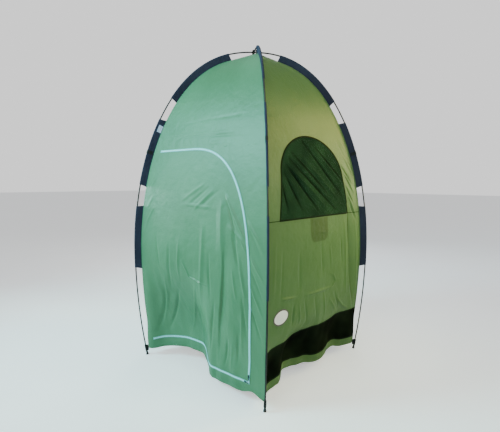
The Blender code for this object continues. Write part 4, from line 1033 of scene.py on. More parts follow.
# %% Teeth
TOOTH = (0.0030, 0.0019, 0.0014)  # across the zip, along it, thick
TOOTH_PITCH = 0.0040  # really 1.5 mm: coarser, so that single teeth can be seen
TOOTH_FIRST, TOOTH_LAST = 0.006, 0.004  # how far from the zip's two ends the teeth stay
TOOTH_OUT = TAPE_OUT + 0.0008
TOOTH_MIDDLE, TOOTH_SIDE, TOOTH_AHEAD = 0.0010, 0.0060, 0.002  # out of the zip's line, and along it


def make_teeth(side):
    """One row of teeth, each turned to the cloth's own directions across the zip and along it."""
    bm = bmesh.new()
    runs = np.arange(TOOTH_FIRST + (side > 0) * TOOTH_PITCH / 2, ZIP_RUN[-1] - TOOTH_LAST, TOOTH_PITCH)
    along, z, across, up = [np.interp(runs, ZIP_RUN, ZIP[:, i]) for i in range(4)]
    next_along, next_z = [np.interp(runs + TOOTH_AHEAD, ZIP_RUN, ZIP[:, i]) for i in range(2)]
    centre, beyond, forward = [
        on_wall("door", a + side * gap * across, h + side * gap * up, TOOTH_OUT) for a, h, gap in (
            (along, z, TOOTH_MIDDLE), (along, z, TOOTH_SIDE), (next_along, next_z, TOOTH_MIDDLE))]
    for c, b, f in zip(centre, beyond, forward):
        x = Vector(b - c).normalized()
        out = x.cross(Vector(f - c)).normalized()
        turn = Matrix((x, out.cross(x), out)).transposed().to_4x4()
        turn.translation = c
        bmesh.ops.create_cube(bm, size=1, matrix=turn @ Matrix.Diagonal((*TOOTH, 1)))
    return bm, len(runs)


ZIP_TEETH = {}
for name, (side, _, body) in ZIP_SIDES.items():
    bm, count = make_teeth(side)
    teeth = finish_piece(bm, f"zip_teeth_{name}", "zip_teeth")
    teeth.data.shade_flat()
    ZIP_TEETH[name] = dress(teeth, "zip_tape", body=body)
    print("teeth on this side:", count)

# %% [markdown]
# ## The window wall
# The window is an arch of net with a dark bound edge. Its wall is one grid whose middle columns follow
# the arch. Under it the cloth runs down to a band of net that lets air in, and a strip of cloth below
# that keeps the splash out.

# %% The arch of the window
WINDOW_COLUMNS, SIDE_COLUMNS = 134, 28
# Above and below the window its columns spread out evenly: how far from it that starts, and over what
SPREAD_UP, SPREAD_DOWN = (0.01, 0.12), (0.02, 0.15)
CAP_RISE, NET_CAP_RISE = 0.004, 0.001  # from the arch's last level row to the ends of its crown's row
ABOVE_WINDOW = 0.014  # from the window's top to the level rows
ARCH_RISE = WINDOW_TOP - WINDOW_SPRING
ARCH_Z = np.concatenate([np.linspace(WINDOW_SILL, WINDOW_SPRING, 46),
                         WINDOW_SPRING + ARCH_RISE * np.sin(np.radians(np.linspace(2, 80, 50)))])


def window_half(z):
    t = np.clip((z - WINDOW_SILL) / (WINDOW_SPRING - WINDOW_SILL), 0, 1)
    low = WINDOW_SILL_HALF + (WINDOW_SPRING_HALF - WINDOW_SILL_HALF) * t
    rise = np.clip((z - WINDOW_SPRING) / ARCH_RISE, 0, 1)
    return np.where(z <= WINDOW_SPRING, low, WINDOW_SPRING_HALF * np.sqrt(1 - rise * rise))


def window_crown(along):
    reach = np.clip((along - WINDOW_CENTRE) / WINDOW_SPRING_HALF, -1, 1)
    return WINDOW_SPRING + ARCH_RISE * np.sqrt(1 - reach * reach)


def window_lines(z, gap):
    """Places along the window wall's rows, whose inner columns end at the window's edge."""
    base = np.clip(z, WINDOW_SILL, ARCH_Z[-1])
    half, edge = window_half(base) + gap, wall_edge(base)
    left, right = WINDOW_CENTRE - half, WINDOW_CENTRE + half
    columns = np.hstack([even(-edge, left, SIDE_COLUMNS)[:, :-1],
                         even(left, right, WINDOW_COLUMNS)[:, :-1], even(right, edge, SIDE_COLUMNS)])
    return columns * (wall_edge(z) / edge)[:, None]


# %% Window wall cloth
def window_wall_lines():
    """The places along and the heights of the wall's grid, and what of it stays."""
    below = np.linspace(VENT_TOP + SEAM, WINDOW_SILL - SEAM, 124)
    above = np.linspace(WINDOW_TOP + ABOVE_WINDOW, TOP_ROW, 64)
    z = np.concatenate([below, ARCH_Z[1:], [ARCH_Z[-1] + CAP_RISE], above])
    columns = window_lines(z, SEAM)
    heights = repeated(z, columns.shape[1])
    cap = len(below) + len(ARCH_Z) - 1
    first, last = SIDE_COLUMNS, SIDE_COLUMNS + WINDOW_COLUMNS
    columns[cap] = window_lines(ARCH_Z[-1:], SEAM)[0]
    heights[cap, first + 1:last] = window_crown(columns[cap, first + 1:last]) + SEAM
    spread = even(-wall_edge(z), wall_edge(z), columns.shape[1] - 1)
    mix = np.maximum(smooth((z - WINDOW_TOP - SPREAD_UP[0]) / SPREAD_UP[1]),
                     smooth((WINDOW_SILL - SPREAD_DOWN[0] - z) / SPREAD_DOWN[1]))[:, None]
    keep = np.ones((len(z) - 1, columns.shape[1] - 1), bool)
    keep[len(below) - 1:cap, first:last] = False
    return columns * (1 - mix) + spread * mix, heights, keep


win_along, win_heights, win_keep = window_wall_lines()
window_wall = wall_sheet("window_wall_cloth", "window", win_along, win_heights, "wall_cloth", win_keep)
dress(window_wall, "wall_cloth", "window_wall")

# %% Painted shade on the window wall: the pocket's shadow seen through the cloth, and the shade of a deep fold beside the right pole
SHADED_FOLD = [(334, 950, 350, 740), (350, 740, 376, 540), (376, 540, 440, 330)]  # from and to, in mm
SHADED_FOLD_HALF = 0.018
POCKET_BLUR = 0.004


def inside_pocket(along, z):
    """1 behind the pocket and 0 elsewhere, with a soft edge."""
    start, end, low, high = POCKET
    rounded = np.clip(low + POCKET_ROUND - z, 0, POCKET_ROUND)
    shrink = POCKET_ROUND - np.sqrt(POCKET_ROUND**2 - rounded**2)
    depth = np.minimum.reduce([along - start - shrink, end - shrink - along, z - low, high - z])
    return np.clip(depth / POCKET_BLUR + 0.5, 0, 1)


def line_share(lines, half, along, z):
    """1 in the middle of a line and 0 from half away, over all the lines."""
    share = np.zeros_like(along)
    for a0, z0, a1, z1 in np.array(lines) / 1000:
        t, off_along, off_up = beside((a0, z0), (a1, z1), along, z)
        across = np.clip(1 - np.hypot(off_along, off_up) / half, 0, 1)
        share = np.maximum(share, across * np.sin(math.pi * np.clip(t, 0.1, 0.9)) ** 0.5)
    return share


def mark(piece, name, share):
    """Keeps a share from 0 to 1 at each point of a piece on the window wall, for its finish to read."""
    points = np.array([v.co for v in piece.data.vertices])
    layer = piece.data.attributes.new(name, "FLOAT", "POINT")
    layer.data.foreach_set("value", share(points[:, 1], points[:, 2]).astype(np.float32))


# the window wall's painted shade: the pocket's shadow through the cloth, and the shade along the fold
mark(window_wall, "painted_shade",
     lambda along, z: np.maximum(inside_pocket(along, z), line_share(SHADED_FOLD, SHADED_FOLD_HALF, along, z)))

# %% Window net: it hangs in slanting pleats; in a pleat the net lies double and closes, and its colour is darkened there as painted shade
PLEATS = [(-110, 1360, 262, 1055), (-265, 1258, 171, 979), (-302, 1227, -30, 983), (-324, 1183, -190, 990),
          (-357, 1140, -319, 990), (20, 1330, 285, 1150), (-230, 1290, 80, 1080)]
PLEAT_HALF = 0.011

net_z = np.concatenate([[WINDOW_SILL + SEAM], ARCH_Z[1:]])
net_along = window_lines(net_z, -SEAM)[:, SIDE_COLUMNS:SIDE_COLUMNS + WINDOW_COLUMNS + 1]
cap_row = window_crown(net_along[-1]) - SEAM
cap_row[[0, -1]] = ARCH_Z[-1] + NET_CAP_RISE
net_heights = np.vstack([repeated(net_z, net_along.shape[1]), cap_row])
net_along = np.vstack([net_along, net_along[-1:]])
window_net = wall_sheet("window_net_sheet", "window", net_along, net_heights, "window_net")
mark(window_net, "pleat", lambda along, z: line_share(PLEATS, PLEAT_HALF, along, z))
dress(window_net, "mesh_cloth", "window_mesh", flat=(0.73, 0.45), held="stretched",
      area=cut_area(net_along, net_heights), rests_on=["window_wall_cloth"])

# %% Vent net and hem skirt
for name, node, low, high, rows, finish, slot in (
        ("vent_net_band", "vent_mesh", VENT_BOTTOM + SEAM, VENT_TOP - SEAM, 30, "vent_net", "mesh_cloth"),
        ("hem_skirt_cloth", "hem_skirt", HEM_HEIGHT, VENT_BOTTOM - SEAM, 10, "wall_cloth", "wall_cloth")):
    z = np.linspace(low, high, rows)
    band = wall_sheet(name, "window", even(-wall_edge(z), wall_edge(z), 128), repeated(z, 129), finish)
    dress(band, slot, node, flat=(0.98, high - low), held="hung", rests_on=["window_wall_cloth"])

# %% Back and left walls
# the back wall takes the warm painted tint and the left wall the cool one
WALL_FINISH = {"door": "door_cloth", "window": "wall_cloth", "back": "wall_cloth", "left": "door_cloth"}
PLAIN = {}
for wall in ("back", "left"):
    z = np.linspace(HEM_HEIGHT, TOP_ROW, 190)
    along, heights = even(-wall_edge(z), wall_edge(z), 110), repeated(z, 111)
    cloth = wall_sheet(f"{wall}_wall_cloth", wall, along, heights, WALL_FINISH[wall])
    PLAIN[wall] = (dress(cloth, WALL_FINISH[wall], f"{wall}_wall"), cut_area(along, heights))
print("walls made")

# %% [markdown]
# ## Edges, seams and patches
# Cloth is never left raw. The window and the hems are bound or folded, the corners are closed by a
# sewn tape inside, and a level seam runs under the window. Each is a narrow strip laid on the wall.

# %% Strips along a line on a wall
def wall_strip(name, wall, line, width, finish, slot, out, thickness=0.0008, side=0.0):
    """A strip of tape along a line of (along, z) places, centred on it or moved to one side."""
    line = np.asarray(line, float)
    step = np.gradient(line, axis=0)
    step /= np.hypot(*step.T)[:, None]
    away = (np.array([-0.5, -0.17, 0.17, 0.5]) + side) * width
    place = on_wall(wall, line[:, :1] - step[:, 1:] * away, line[:, 1:] + step[:, :1] * away, out)
    tape = cloth_grid(name, place, tape_pattern(away, run_along(*line.T)), finish, thickness=thickness)
    TRIMS[wall].append(dress(tape, slot))


def level(start, end, z, count):
    return np.stack([np.linspace(start, end, count), np.full(count, z)], 1)


# %% Binding round the window: up one side, over the arch, down the other
arch_turn = np.radians(np.linspace(0, 180, 110))
sides = np.linspace(WINDOW_SILL, WINDOW_SPRING, 34)[:-1]
right_side, left_side = [np.stack([WINDOW_CENTRE + sign * window_half(sides), sides], 1)
                         for sign in (1, -1)]
over = np.stack([WINDOW_CENTRE + WINDOW_SPRING_HALF * np.cos(arch_turn),
                 WINDOW_SPRING + ARCH_RISE * np.sin(arch_turn)], 1)
wall_strip("window_arch_binding", "window", np.vstack([right_side, over, left_side[::-1]]), 0.010,
           "binding", "webbing", 0.0009, side=0.10)

# %% Level seams of the window wall
for name, (start, end, z, count), width, finish, slot, out in (
        ("window_sill_binding", (-0.402, 0.342, WINDOW_SILL, 100), 0.009, "binding", "webbing", 0.0014),
        ("window_sill_seam_front", (-0.490, -0.400, WINDOW_SILL - 0.001, 16), 0.005, "seam_thread",
         "wall_cloth", 0.0008),
        ("window_sill_seam_rear", (0.340, 0.490, WINDOW_SILL - 0.001, 24), 0.005, "seam_thread",
         "wall_cloth", 0.0008),
        ("vent_top_seam", (-0.490, 0.490, VENT_TOP, 130), 0.008, "binding", "webbing", 0.0009),
        ("vent_bottom_seam", (-0.484, 0.484, VENT_BOTTOM, 130), 0.008, "binding", "webbing", 0.0009)):
    wall_strip(name, "window", level(start, end, z, count), width, finish, slot, out)

# %% Hems
HEM_TAPE = 0.014
HEM_END = 0.004  # from the cloth's edge to the fold's end
for wall, finish in WALL_FINISH.items():
    reach = float(wall_edge(HEM_HEIGHT)) - HEM_END
    line = level(-reach, reach, HEM_HEIGHT + HEM_TAPE / 2 + 0.0005, 130)
    if wall == "door":
        line[:, 1] += scallop_rise(line[:, 0])
    wall_strip(f"hem_fold_{wall}", wall, line, HEM_TAPE, finish, finish, 0.0009)

# %% Corner seams: a folded tape inside each corner, seen through the gap between two walls
CORNERS = {"front": ("door", "window"), "right": ("window", "back"), "rear": ("back", "left"),
           "left": ("left", "door")}
SEAM_IN = 0.0016  # how far inside the walls it lies
SEAM_WIDTH = 0.020
SEAM_GAPS = np.array([0.010, 0.005, 0.0012])  # its points on each wall, from the corner
for leg, walls in CORNERS.items():
    z = np.linspace(HEM_HEIGHT + 0.001, TOP_ROW, 160)
    parts = []
    for wall, sign in zip(walls, (1, -1)):
        along = sign * np.maximum((wall_half(z) - SEAM_IN)[:, None] - SEAM_GAPS[::sign], 0)
        parts.append(on_wall(wall, along, repeated(z, 3), -SEAM_IN))
    seam = cloth_grid(f"corner_seam_{leg}", np.concatenate(parts, 1),
                      tape_pattern(np.linspace(0, SEAM_WIDTH, 6), z), "webbing", thickness=0.0008)
    dress(seam, "webbing", flat=(SEAM_WIDTH, 2.20), held="stretched")


# %% Inner pocket
def pocket_lines():
    start, end, low, high = POCKET
    z = np.linspace(low, high, 26)
    pull = np.clip((low + POCKET_ROUND - z) / POCKET_ROUND, 0, 0.995)
    shrink = POCKET_ROUND * (1 - np.sqrt(1 - pull**2))
    return even(start + shrink, end - shrink, 30), repeated(z, 31)


pocket = wall_sheet("inner_pocket_cloth", "window", *pocket_lines(), "wall_cloth", out=-0.0018)
dress(pocket, "wall_cloth", "inner_pocket", flat=(0.188, 0.131), held="hung",
      rests_on=["window_wall_cloth"])

# %% [markdown]
# ## Patch on the window wall
# An oval patch is sewn to the window wall. It is left bare. It is a disc whose points are laid on the
# cloth, with a dark overlocked edge about it.

# %% Oval patch with its overlocked edge
turn = np.linspace(0, 2 * math.pi, 65)
rings = np.array([0.0, 0.25, 0.5, 0.75, 0.94])[:, None]
patch_along = BADGE_CENTRE[0] + BADGE_HALF[0] * rings * np.cos(turn)
patch_z = BADGE_CENTRE[1] + BADGE_HALF[1] * rings * np.sin(turn)
patch = cloth_grid("blank_patch", on_wall("window", patch_along, patch_z, 0.0014),
                   np.stack([patch_along, patch_z], -1), "badge", thickness=0.0009, merge=True)
dress(patch, "badge", "blank_badge", flat=(0.128, 0.082), held="laid", area=math.pi * 0.060 * 0.0385,
      rests_on=["window_wall_cloth"])
ring = np.stack([BADGE_CENTRE[0] + BADGE_HALF[0] * 0.955 * np.cos(turn),
                 BADGE_CENTRE[1] + BADGE_HALF[1] * 0.93 * np.sin(turn)], 1)
wall_strip("patch_edge", "window", ring, 0.0070, "badge_edge", "badge", 0.0018, thickness=0.0011)

# %% [markdown]
# ## Poles
# The poles are tubes: a ring of points is carried along the arch and given a wall's thickness, which
# leaves the bore open for the elastic cord. Each of the seven sections ends in a ferrule, a wider
# piece of tube that the next section slides into.

# %% Tubes along a pole
def ring_points(radius, sides):
    turn = np.linspace(0, 2 * math.pi, sides + 1)
    return radius * np.cos(turn), radius * np.sin(turn)


def with_ends(piece):
    """A tube's mesh opened for changes, with its two ends closed."""
    bm = bmesh.new()
    bm.from_mesh(piece.data)
    bmesh.ops.holes_fill(bm, edges=[e for e in bm.edges if e.is_boundary], sides=0)
    return bm


def put_back(bm, piece):
    bmesh.ops.recalc_face_normals(bm, faces=bm.faces)
    bm.to_mesh(piece.data)
    bm.free()


def tube_on_pole(name, leg, start, end, radius, wall, finish="fibreglass", step=0.012, sides=20):
    """A tube round a pole's line, hollow where it has a wall and closed where it has none."""
    runs = np.linspace(start, end, max(3, int((end - start) / step) + 1))
    place = by_pole(leg, repeated(runs, sides + 1), *ring_points(radius, sides))
    pattern = tape_pattern(np.linspace(0, 2 * math.pi * radius, sides + 1), runs)
    made = cloth_grid(name, place, pattern, finish, thickness=wall, offset=-1, merge=True)
    if not wall:
        put_back(with_ends(made), made)
    return made


# %% Sections, ferrules and elastic cords
POLE_SEAT = TIP_FOOT_HEIGHT + 0.0012  # where a pole stands in its tip
SECTION_GAP = 0.0004  # from the line between two sections to each of them
CORD_END = 0.016
for arch, leg in (("lower", "left"), ("upper", "front")):
    whole = float(ARCHES[arch][0][-1])
    for i in range(SECTIONS):
        middle = whole * (i + 1) / SECTIONS
        start = POLE_SEAT if i == 0 else whole * i / SECTIONS + SECTION_GAP
        end = whole - POLE_SEAT if i == SECTIONS - 1 else middle - SECTION_GAP
        dress(tube_on_pole(f"{arch}_pole_{i + 1}", leg, start, end, POLE_RADIUS, POLE_WALL),
              "fibreglass", f"{arch}_pole_section_{i + 1}")
        if i < SECTIONS - 1:
            dress(tube_on_pole(f"{arch}_ferrule_{i + 1}", leg, middle - FERRULE_LENGTH / 2,
                               middle + FERRULE_LENGTH / 2, FERRULE_RADIUS, FERRULE_WALL), "fibreglass")
    cord = tube_on_pole(f"{arch}_elastic_cord", leg, CORD_END, whole - CORD_END, CORD_RADIUS, 0,
                        "webbing", step=0.02, sides=8)
    dress(cord, "webbing", f"{arch}_pole_shock_cord")
print("pole sections:", 2 * SECTIONS)

# %% [markdown]
# ## Sleeves, bands, straps and label
# The navy sleeves are strips folded round the pole and sewn into the corner, so their section is a
# teardrop. Their ends lean a little and their sides pucker where the thread pulls. A dark band is
# sewn round each middle sleeve, and a webbing strap ties each corner's hem to the pole's foot.

# %% A strip folded round a pole
PUCKERS = 32  # in a metre
LEG_APART = 3.1  # moves the noise, so that each leg has its own puckers


def folded_profile(radius, fin, gap=0.0007):
    """In along one side, round the pole, and back along the other: x out of the arch and y sideways."""
    spread = math.pi - math.acos(radius / fin)
    turn = np.linspace(spread, -spread, 17)
    arc_x, arc_y = radius * np.cos(turn), radius * np.sin(turn)
    side = np.linspace(0, 1, 6)[:-1]
    side_x, side_y = -fin + (arc_x[0] + fin) * side, gap + (arc_y[0] - gap) * side
    return np.concatenate([side_x, arc_x, side_x[::-1]]), np.concatenate([side_y, arc_y, -side_y[::-1]])


def folded_on_pole(name, node, under, leg, ends, radius, fin, finish, thickness, gap=0.0007, slant=0.0,
                   pucker=0.0, step=0.008):
    """A strip round a pole between two places along it. It stands for a node's solid and lies on the
    piece under it."""
    start, end = ends
    x, y = folded_profile(radius, fin, gap)
    t = np.linspace(0, 1, max(4, int((end - start) / step) + 1))[:, None]
    to_seam = np.clip(x / -fin, 0, 1)[None, :]
    lean = slant * (1 - 2 * to_seam)
    runs = (start + lean) * (1 - t) + (end - lean) * t
    spots = [Vector((r * PUCKERS, LEG_APART * sum(LEGS[leg]), end)) for r in runs[:, 0].tolist()]
    wave = np.array([noise.noise(spot) for spot in spots])[:, None]
    place = by_pole(leg, runs, x, y * (1 + pucker * wave * to_seam * (1 - to_seam) * 4))
    around = run_along(x, y)
    pattern = np.stack(np.broadcast_arrays(around, runs), -1)
    strip = cloth_grid(name, place, pattern, finish, thickness=thickness)
    dress(strip, finish, node, flat=(float(around[-1]), float(end - start)), held="stretched",
          rests_on=[under])


for leg in LEGS:
    for part, heights in SLEEVES.items():
        folded_on_pole(f"{part}_sleeve_cloth_{leg}", f"{part}_sleeve_{leg}", f"{LEG_ARCH[leg]}_pole_3",
                       leg, [run_at(leg, z) for z in heights], SLEEVE_RADIUS, SLEEVE_WIDTH + SEAM_REACH,
                       "sleeve_cloth", 0.0006, slant=SLEEVE_SLANT, pucker=0.5)
    middle = run_at(leg, BAND_HEIGHTS[leg])
    folded_on_pole(f"band_{leg}", f"sleeve_band_{leg}", f"middle_sleeve_cloth_{leg}", leg,
                   (middle - BAND_LENGTH / 2, middle + BAND_LENGTH / 2), SLEEVE_RADIUS + 0.0014,
                   SLEEVE_WIDTH - 0.006, "webbing", 0.0012, gap=0.0030)
    folded_on_pole(f"strap_{leg}", f"corner_strap_{leg}", f"tip_{leg}", leg, STRAP, TIP_RADIUS + 0.0009,
                   HEM_INSET - 0.0006, "webbing", 0.0012, step=0.004)
print("sleeves:", 4 * len(SLEEVES))

# %% Bare label on the left leg's middle sleeve, on its door side
LABEL_IN, LABEL_OUT = 0.0106, 0.0011  # from the pole's line, and from the sleeve's side
label_x = -np.linspace(LABEL_IN, LABEL_IN + LABEL_SIZE[0], 7)
label_runs = run_at("left", LABEL_HEIGHT) + np.linspace(-0.5, 0.5, 12) * LABEL_SIZE[1]
side_x, side_y = folded_profile(SLEEVE_RADIUS, SLEEVE_WIDTH - 0.0006)
label_y = np.interp(label_x, side_x[:6], side_y[:6]) + LABEL_OUT
facing = -1 if by_pole("left", 1.0, 0.0, 0.01)[1] > by_pole("left", 1.0)[1] else 1
label = cloth_grid("bare_label", by_pole("left", repeated(label_runs, 7), label_x, facing * label_y),
                   tape_pattern(label_x, label_runs), "label", thickness=0.0006)
dress(label, "label", "blank_label", flat=LABEL_SIZE, held="laid", rests_on=["middle_sleeve_cloth_left"])

# %% [markdown]
# ## Pole tips
# Each foot of a pole ends in a moulded nylon tip: a socket with a rolled rim and a flat foot. It is a
# turned shape, so rings of different radius are carried along the pole's line.

# %% Tips
TIP_PROFILE = [(0.0063, 0.0004), (0.012, 0), (0.044, 0), (0.0455, 0.0005), (0.0490, 0.0005),
               (0.0500, -0.0004)]  # places along the tip, and how far past its radius it is there
run, rim = np.array(TIP_PROFILE).T
for leg in LEGS:
    x, y = ring_points(1, 24)
    radius = (TIP_RADIUS + rim)[:, None]
    place = by_pole(leg, repeated(run, 25), radius * x, radius * y)
    tip = cloth_grid(f"tip_{leg}", place, place[..., :2], "tip_plastic", thickness=0, merge=True)
    bm = with_ends(tip)
    middle = by_pole(leg, TIP_FOOT_HEIGHT / 2)
    disc = bmesh.ops.create_cone(bm, cap_ends=True, segments=28, radius1=TIP_FOOT_RADIUS,
                                 radius2=TIP_FOOT_RADIUS, depth=TIP_FOOT_HEIGHT)["verts"]
    bmesh.ops.translate(bm, verts=disc, vec=(middle[0], middle[1], TIP_FOOT_HEIGHT / 2))
    rims = [e for e in bm.edges
            if all(v in disc for v in e.verts) and abs(e.verts[0].co.z - e.verts[1].co.z) < 1e-6]
    bmesh.ops.bevel(bm, geom=rims, offset=0.0012, affect="EDGES", segments=3, profile=0.5, material=-1)
    put_back(bm, tip)
    tip.data.shade_smooth()
    tip.data.set_sharp_from_angle(angle=math.radians(40))
    dress(tip, "tip_plastic", f"pole_tip_{leg}")

# %% [markdown]
# ## Crown patch and tie
# The four walls meet under a round patch, and a loop of webbing on it goes over both poles where they
# cross. The patch is a disc that lies on the cloth, and the loop is a strip bent into a tall ring.

# %% Crown patch
PATCH_OUT = 0.0015
turn = np.linspace(0, 2 * math.pi, 49)
radius = np.linspace(0, PATCH_RADIUS, 9)[:, None]
flat_x, flat_y = radius * np.cos(turn), radius * np.sin(turn)
reach = np.maximum(np.maximum(np.abs(flat_x), np.abs(flat_y)), TOP_HOLE_HALF * 0.6)
place = np.stack([flat_x, flat_y, height_for_half(reach) + PATCH_OUT], -1)
crown_patch = cloth_grid("crown_patch", place, place[..., :2], "webbing", thickness=0.0012, merge=True)
dress(crown_patch, "webbing", "crown_tie", flat=(2 * PATCH_RADIUS, 2 * PATCH_RADIUS), held="laid",
      area=math.pi * PATCH_RADIUS**2 * 0.999)

# %% Crown loop
TIE_WIDTH, TIE_THICKNESS = 0.014, 0.0015
LOOP_SQUARENESS = 0.36  # 1 is an oval, and 0 a box
LOOP_BESIDE, LOOP_OVER, LOOP_RISE = 0.0008, 0.0004, 0.0030  # gaps beside and over the poles, and its foot
loop_half = TIE_WIDTH / 2 + POLE_RADIUS * math.sqrt(2) + LOOP_BESIDE + TIE_THICKNESS / 2
loop_top = ARCH_HEIGHT + CROSSING_LIFT + POLE_RADIUS + LOOP_OVER + TIE_THICKNESS / 2
loop_low = TOP_ROW + LOOP_RISE
turn = np.linspace(0, 2 * math.pi, 73)
bend_x, bend_z = [np.sign(c) * np.abs(c) ** LOOP_SQUARENESS for c in (np.cos(turn), np.sin(turn))]
loop_x, loop_z = loop_half * bend_x, (loop_top + loop_low) / 2 + (loop_top - loop_low) / 2 * bend_z
across = np.linspace(-TIE_WIDTH / 2, TIE_WIDTH / 2, 5)
place = np.stack(np.broadcast_arrays(loop_x[:, None], across, loop_z[:, None]), -1)
run = run_along(loop_x, loop_z)
crown_loop = cloth_grid("crown_loop", place, tape_pattern(across, run), "webbing",
                        thickness=TIE_THICKNESS, merge=True)
dress(crown_loop, "webbing", flat=(TIE_WIDTH, float(run[-1])), held="stretched",
      rests_on=["upper_pole_4"])

# %% [markdown]
# ## Zip sliders and pullers
# Two sliders meet at the door's lower corner, one for the side zip and one for the bottom zip. A
# slider is a small cast body with a bridge on its front, and a flat tag hangs from the bridge by its
# eye. They are made lying flat at the origin and then set on the cloth by a frame.

# %% Frames of the two sliders
CAD_CLOTH, TAPE_GAP, CAD_TAPE, SLIDER_GAP = 0.0015, 0.0006, 0.0010, 0.0009
SLIDER_SIZE = (0.0085, 0.0140, 0.0030)
BRIDGE_SIZE = (0.0014, 0.0090, 0.0034)
PULLER_SIZE = (0.0052, 0.0240, 0.0010)
PULLER_EYE = (0.0024, 0.0070)
PULLER_BAR, PULLER_EASE = 0.0010, 0.0004
SLIDER_FRONT = CAD_CLOTH / 2 + TAPE_GAP + CAD_TAPE + SLIDER_GAP + SLIDER_SIZE[2]
PULLER_OUT = SLIDER_FRONT + PULLER_EASE + PULLER_SIZE[2] / 2
SIDE_SLIDER_RISE, BOTTOM_SLIDER_BACK = 0.036, 0.021
UP_STEP = 0.005  # how much higher the place is that gives the cloth's way up
EDGE_ROUND, BRIDGE_THICKNESS, CLOSED_END = 0.0007, 0.0007, 0.68  # the last: its share of the width


def plain_on_door(along, z):
    """A point of the door's wall as the frame has it, with its folds and without its creases."""
    fold = float(fold_depth("door", along, z))
    return Vector((along, fold - float(wall_half(z)), z + FOLD_LIFT * fold))


def slider_frame(pivot, along, z, turned):
    """Frame of a slider: y along its zip, towards where it opens, and z out of the cloth. It is set so
    that the puller on it turns about the frame's own pivot."""
    across = Vector((1, 0, 0))
    up = (plain_on_door(along, z + UP_STEP) - plain_on_door(along, z)).normalized()
    out = across.cross(up)
    made = Matrix((across, up, out)).transposed().to_4x4()
    made.translation = Vector(pivot) - out * PULLER_OUT
    return made @ Matrix.Rotation(math.radians(turned), 4, "Z")


SIDE_Z = DOOR_BOTTOM + SIDE_SLIDER_RISE
SLIDER_FRAMES = {
    "side": slider_frame((0.38683, -0.49735, 0.14788), float(door_edge(SIDE_Z)[0]), SIDE_Z, 0),
    "bottom": slider_frame((0.36400, -0.49674, 0.11188), DOOR_TOE - BOTTOM_SLIDER_BACK, DOOR_BOTTOM, 90),
}


# %% Slider: a tapered body with rounded edges, and a bridge bent from a flat bar
def slider_body():
    bm = bmesh.new()
    bmesh.ops.create_cube(bm, size=1, matrix=Matrix.Translation((0, 0, SLIDER_FRONT - SLIDER_SIZE[2] / 2))
                          @ Matrix.Diagonal((*SLIDER_SIZE, 1)))
    for vert in bm.verts:
        if vert.co.y < 0:
            vert.co.x *= CLOSED_END  # narrower where the zip is closed
    bmesh.ops.bevel(bm, geom=bm.edges[:], offset=EDGE_ROUND, affect="EDGES", segments=3, profile=0.5,
                    material=-1)
    wide, long, tall = BRIDGE_SIZE
    rise = [(0, -0.0003), (0.0003, tall * 0.62), (0.0008, tall - 0.0001)]  # in from the end, and up
    bar = [(inwards - long / 2, z) for inwards, z in rise]
    bar += [(-y, z) for y, z in bar[::-1]]
    strip = bmesh.ops.create_grid(bm, x_segments=1, y_segments=len(bar) - 1, size=0.5)["verts"]
    for vert in strip:
        y, z = bar[round((vert.co.y + 0.5) * (len(bar) - 1))]
        vert.co = (vert.co.x * wide, y, SLIDER_FRONT + z)
    faces = [f for f in bm.faces if all(v in strip for v in f.verts)]
    bmesh.ops.solidify(bm, geom=faces, thickness=BRIDGE_THICKNESS)
    return bm


# %% Puller: a flat tag with rounded corners and an eye for the bridge
def rounded_loop(bm, middle, wide, long, power):
    """A closed loop of edges with rounded corners."""
    loop = bmesh.ops.create_circle(bm, cap_ends=False, segments=32, radius=1)["verts"]
    for vert in loop:
        x, y = vert.co.x, vert.co.y
        vert.co = (wide / 2 * math.copysign(abs(x) ** (2 / power), x),
                   middle + long / 2 * math.copysign(abs(y) ** (2 / power), y), 0)
    return dict.fromkeys(e for v in loop for e in v.link_edges)  # each once, in the same order each run


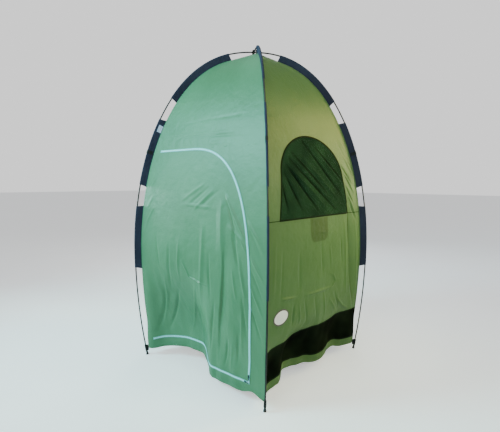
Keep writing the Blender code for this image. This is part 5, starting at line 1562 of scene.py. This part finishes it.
def puller_tag():
    bm = bmesh.new()
    wide, long, thick = PULLER_SIZE
    outer = rounded_loop(bm, PULLER_BAR / 2 - long / 2, wide, long, 5)
    inner = rounded_loop(bm, -PULLER_BAR / 2 - PULLER_EYE[1] / 2, *PULLER_EYE, 4)
    faces = bmesh.ops.bridge_loops(bm, edges=[*outer, *inner])["faces"]
    raised = bmesh.ops.extrude_face_region(bm, geom=faces)["geom"]
    top = [g for g in raised if isinstance(g, bmesh.types.BMVert)]
    bmesh.ops.translate(bm, verts=top, vec=(0, 0, thick))
    bmesh.ops.translate(bm, verts=bm.verts, vec=(0, 0, PULLER_OUT - thick / 2))
    return bm


for name, seat in SLIDER_FRAMES.items():
    for make, part in ((slider_body, "slider"), (puller_tag, "puller")):
        bm = make()
        bmesh.ops.recalc_face_normals(bm, faces=bm.faces)
        bmesh.ops.transform(bm, verts=bm.verts, matrix=seat)
        made = finish_piece(bm, f"{name}_{part}_metal", "zip_metal")
        made.data.set_sharp_from_angle(angle=math.radians(35))
        dress(made, "zip_metal", f"{name}_zip_{part}", f"{name}_{part}")
print("sliders at", [[round(c, 3) for c in f.translation] for f in SLIDER_FRAMES.values()])

# %% [markdown]
# ## What each cloth was cut to
# A sewn tent starts as flat panels. Each wall's sheet is declared with the size of its panel before it
# was hung, and with the narrow tapes that are sewn to it.

# %% Panels
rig.sheet(door_wall, flat=(1.02, 1.92), held="stretched",
         area=cut_area(door_along, door_heights, door_keep),
         rests_on=["corner_seam_left", "corner_seam_front"],
         with_pieces=[*TRIMS["door"], ZIP_TEETH["fixed"]])
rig.sheet(door_flap, flat=(0.86, 1.21), held="hung", area=cut_area(flap_along, flap_heights),
         rests_on=["door_wall_cloth"], with_pieces=[*TRIMS["flap"], ZIP_TEETH["door"]])
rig.sheet(window_wall, flat=(1.02, 1.68), held="stretched",
         area=cut_area(win_along, win_heights, win_keep),
         rests_on=["corner_seam_front", "corner_seam_right"], with_pieces=TRIMS["window"])
for wall, (cloth, area) in PLAIN.items():
    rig.sheet(cloth, flat=(1.02, 1.92), held="stretched", area=area, with_pieces=TRIMS[wall])

# %% Finish
visual_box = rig.bounds()
with open("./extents.json", "w") as f:
    json.dump({"cad": [list(c) for c in cad_box], "visual": [list(c) for c in visual_box]}, f)
print("cad box:", [round(c, 4) for c in (*cad_box[0], *cad_box[1])])
print("visual box:", [round(c, 4) for c in (*visual_box[0], *visual_box[1])])
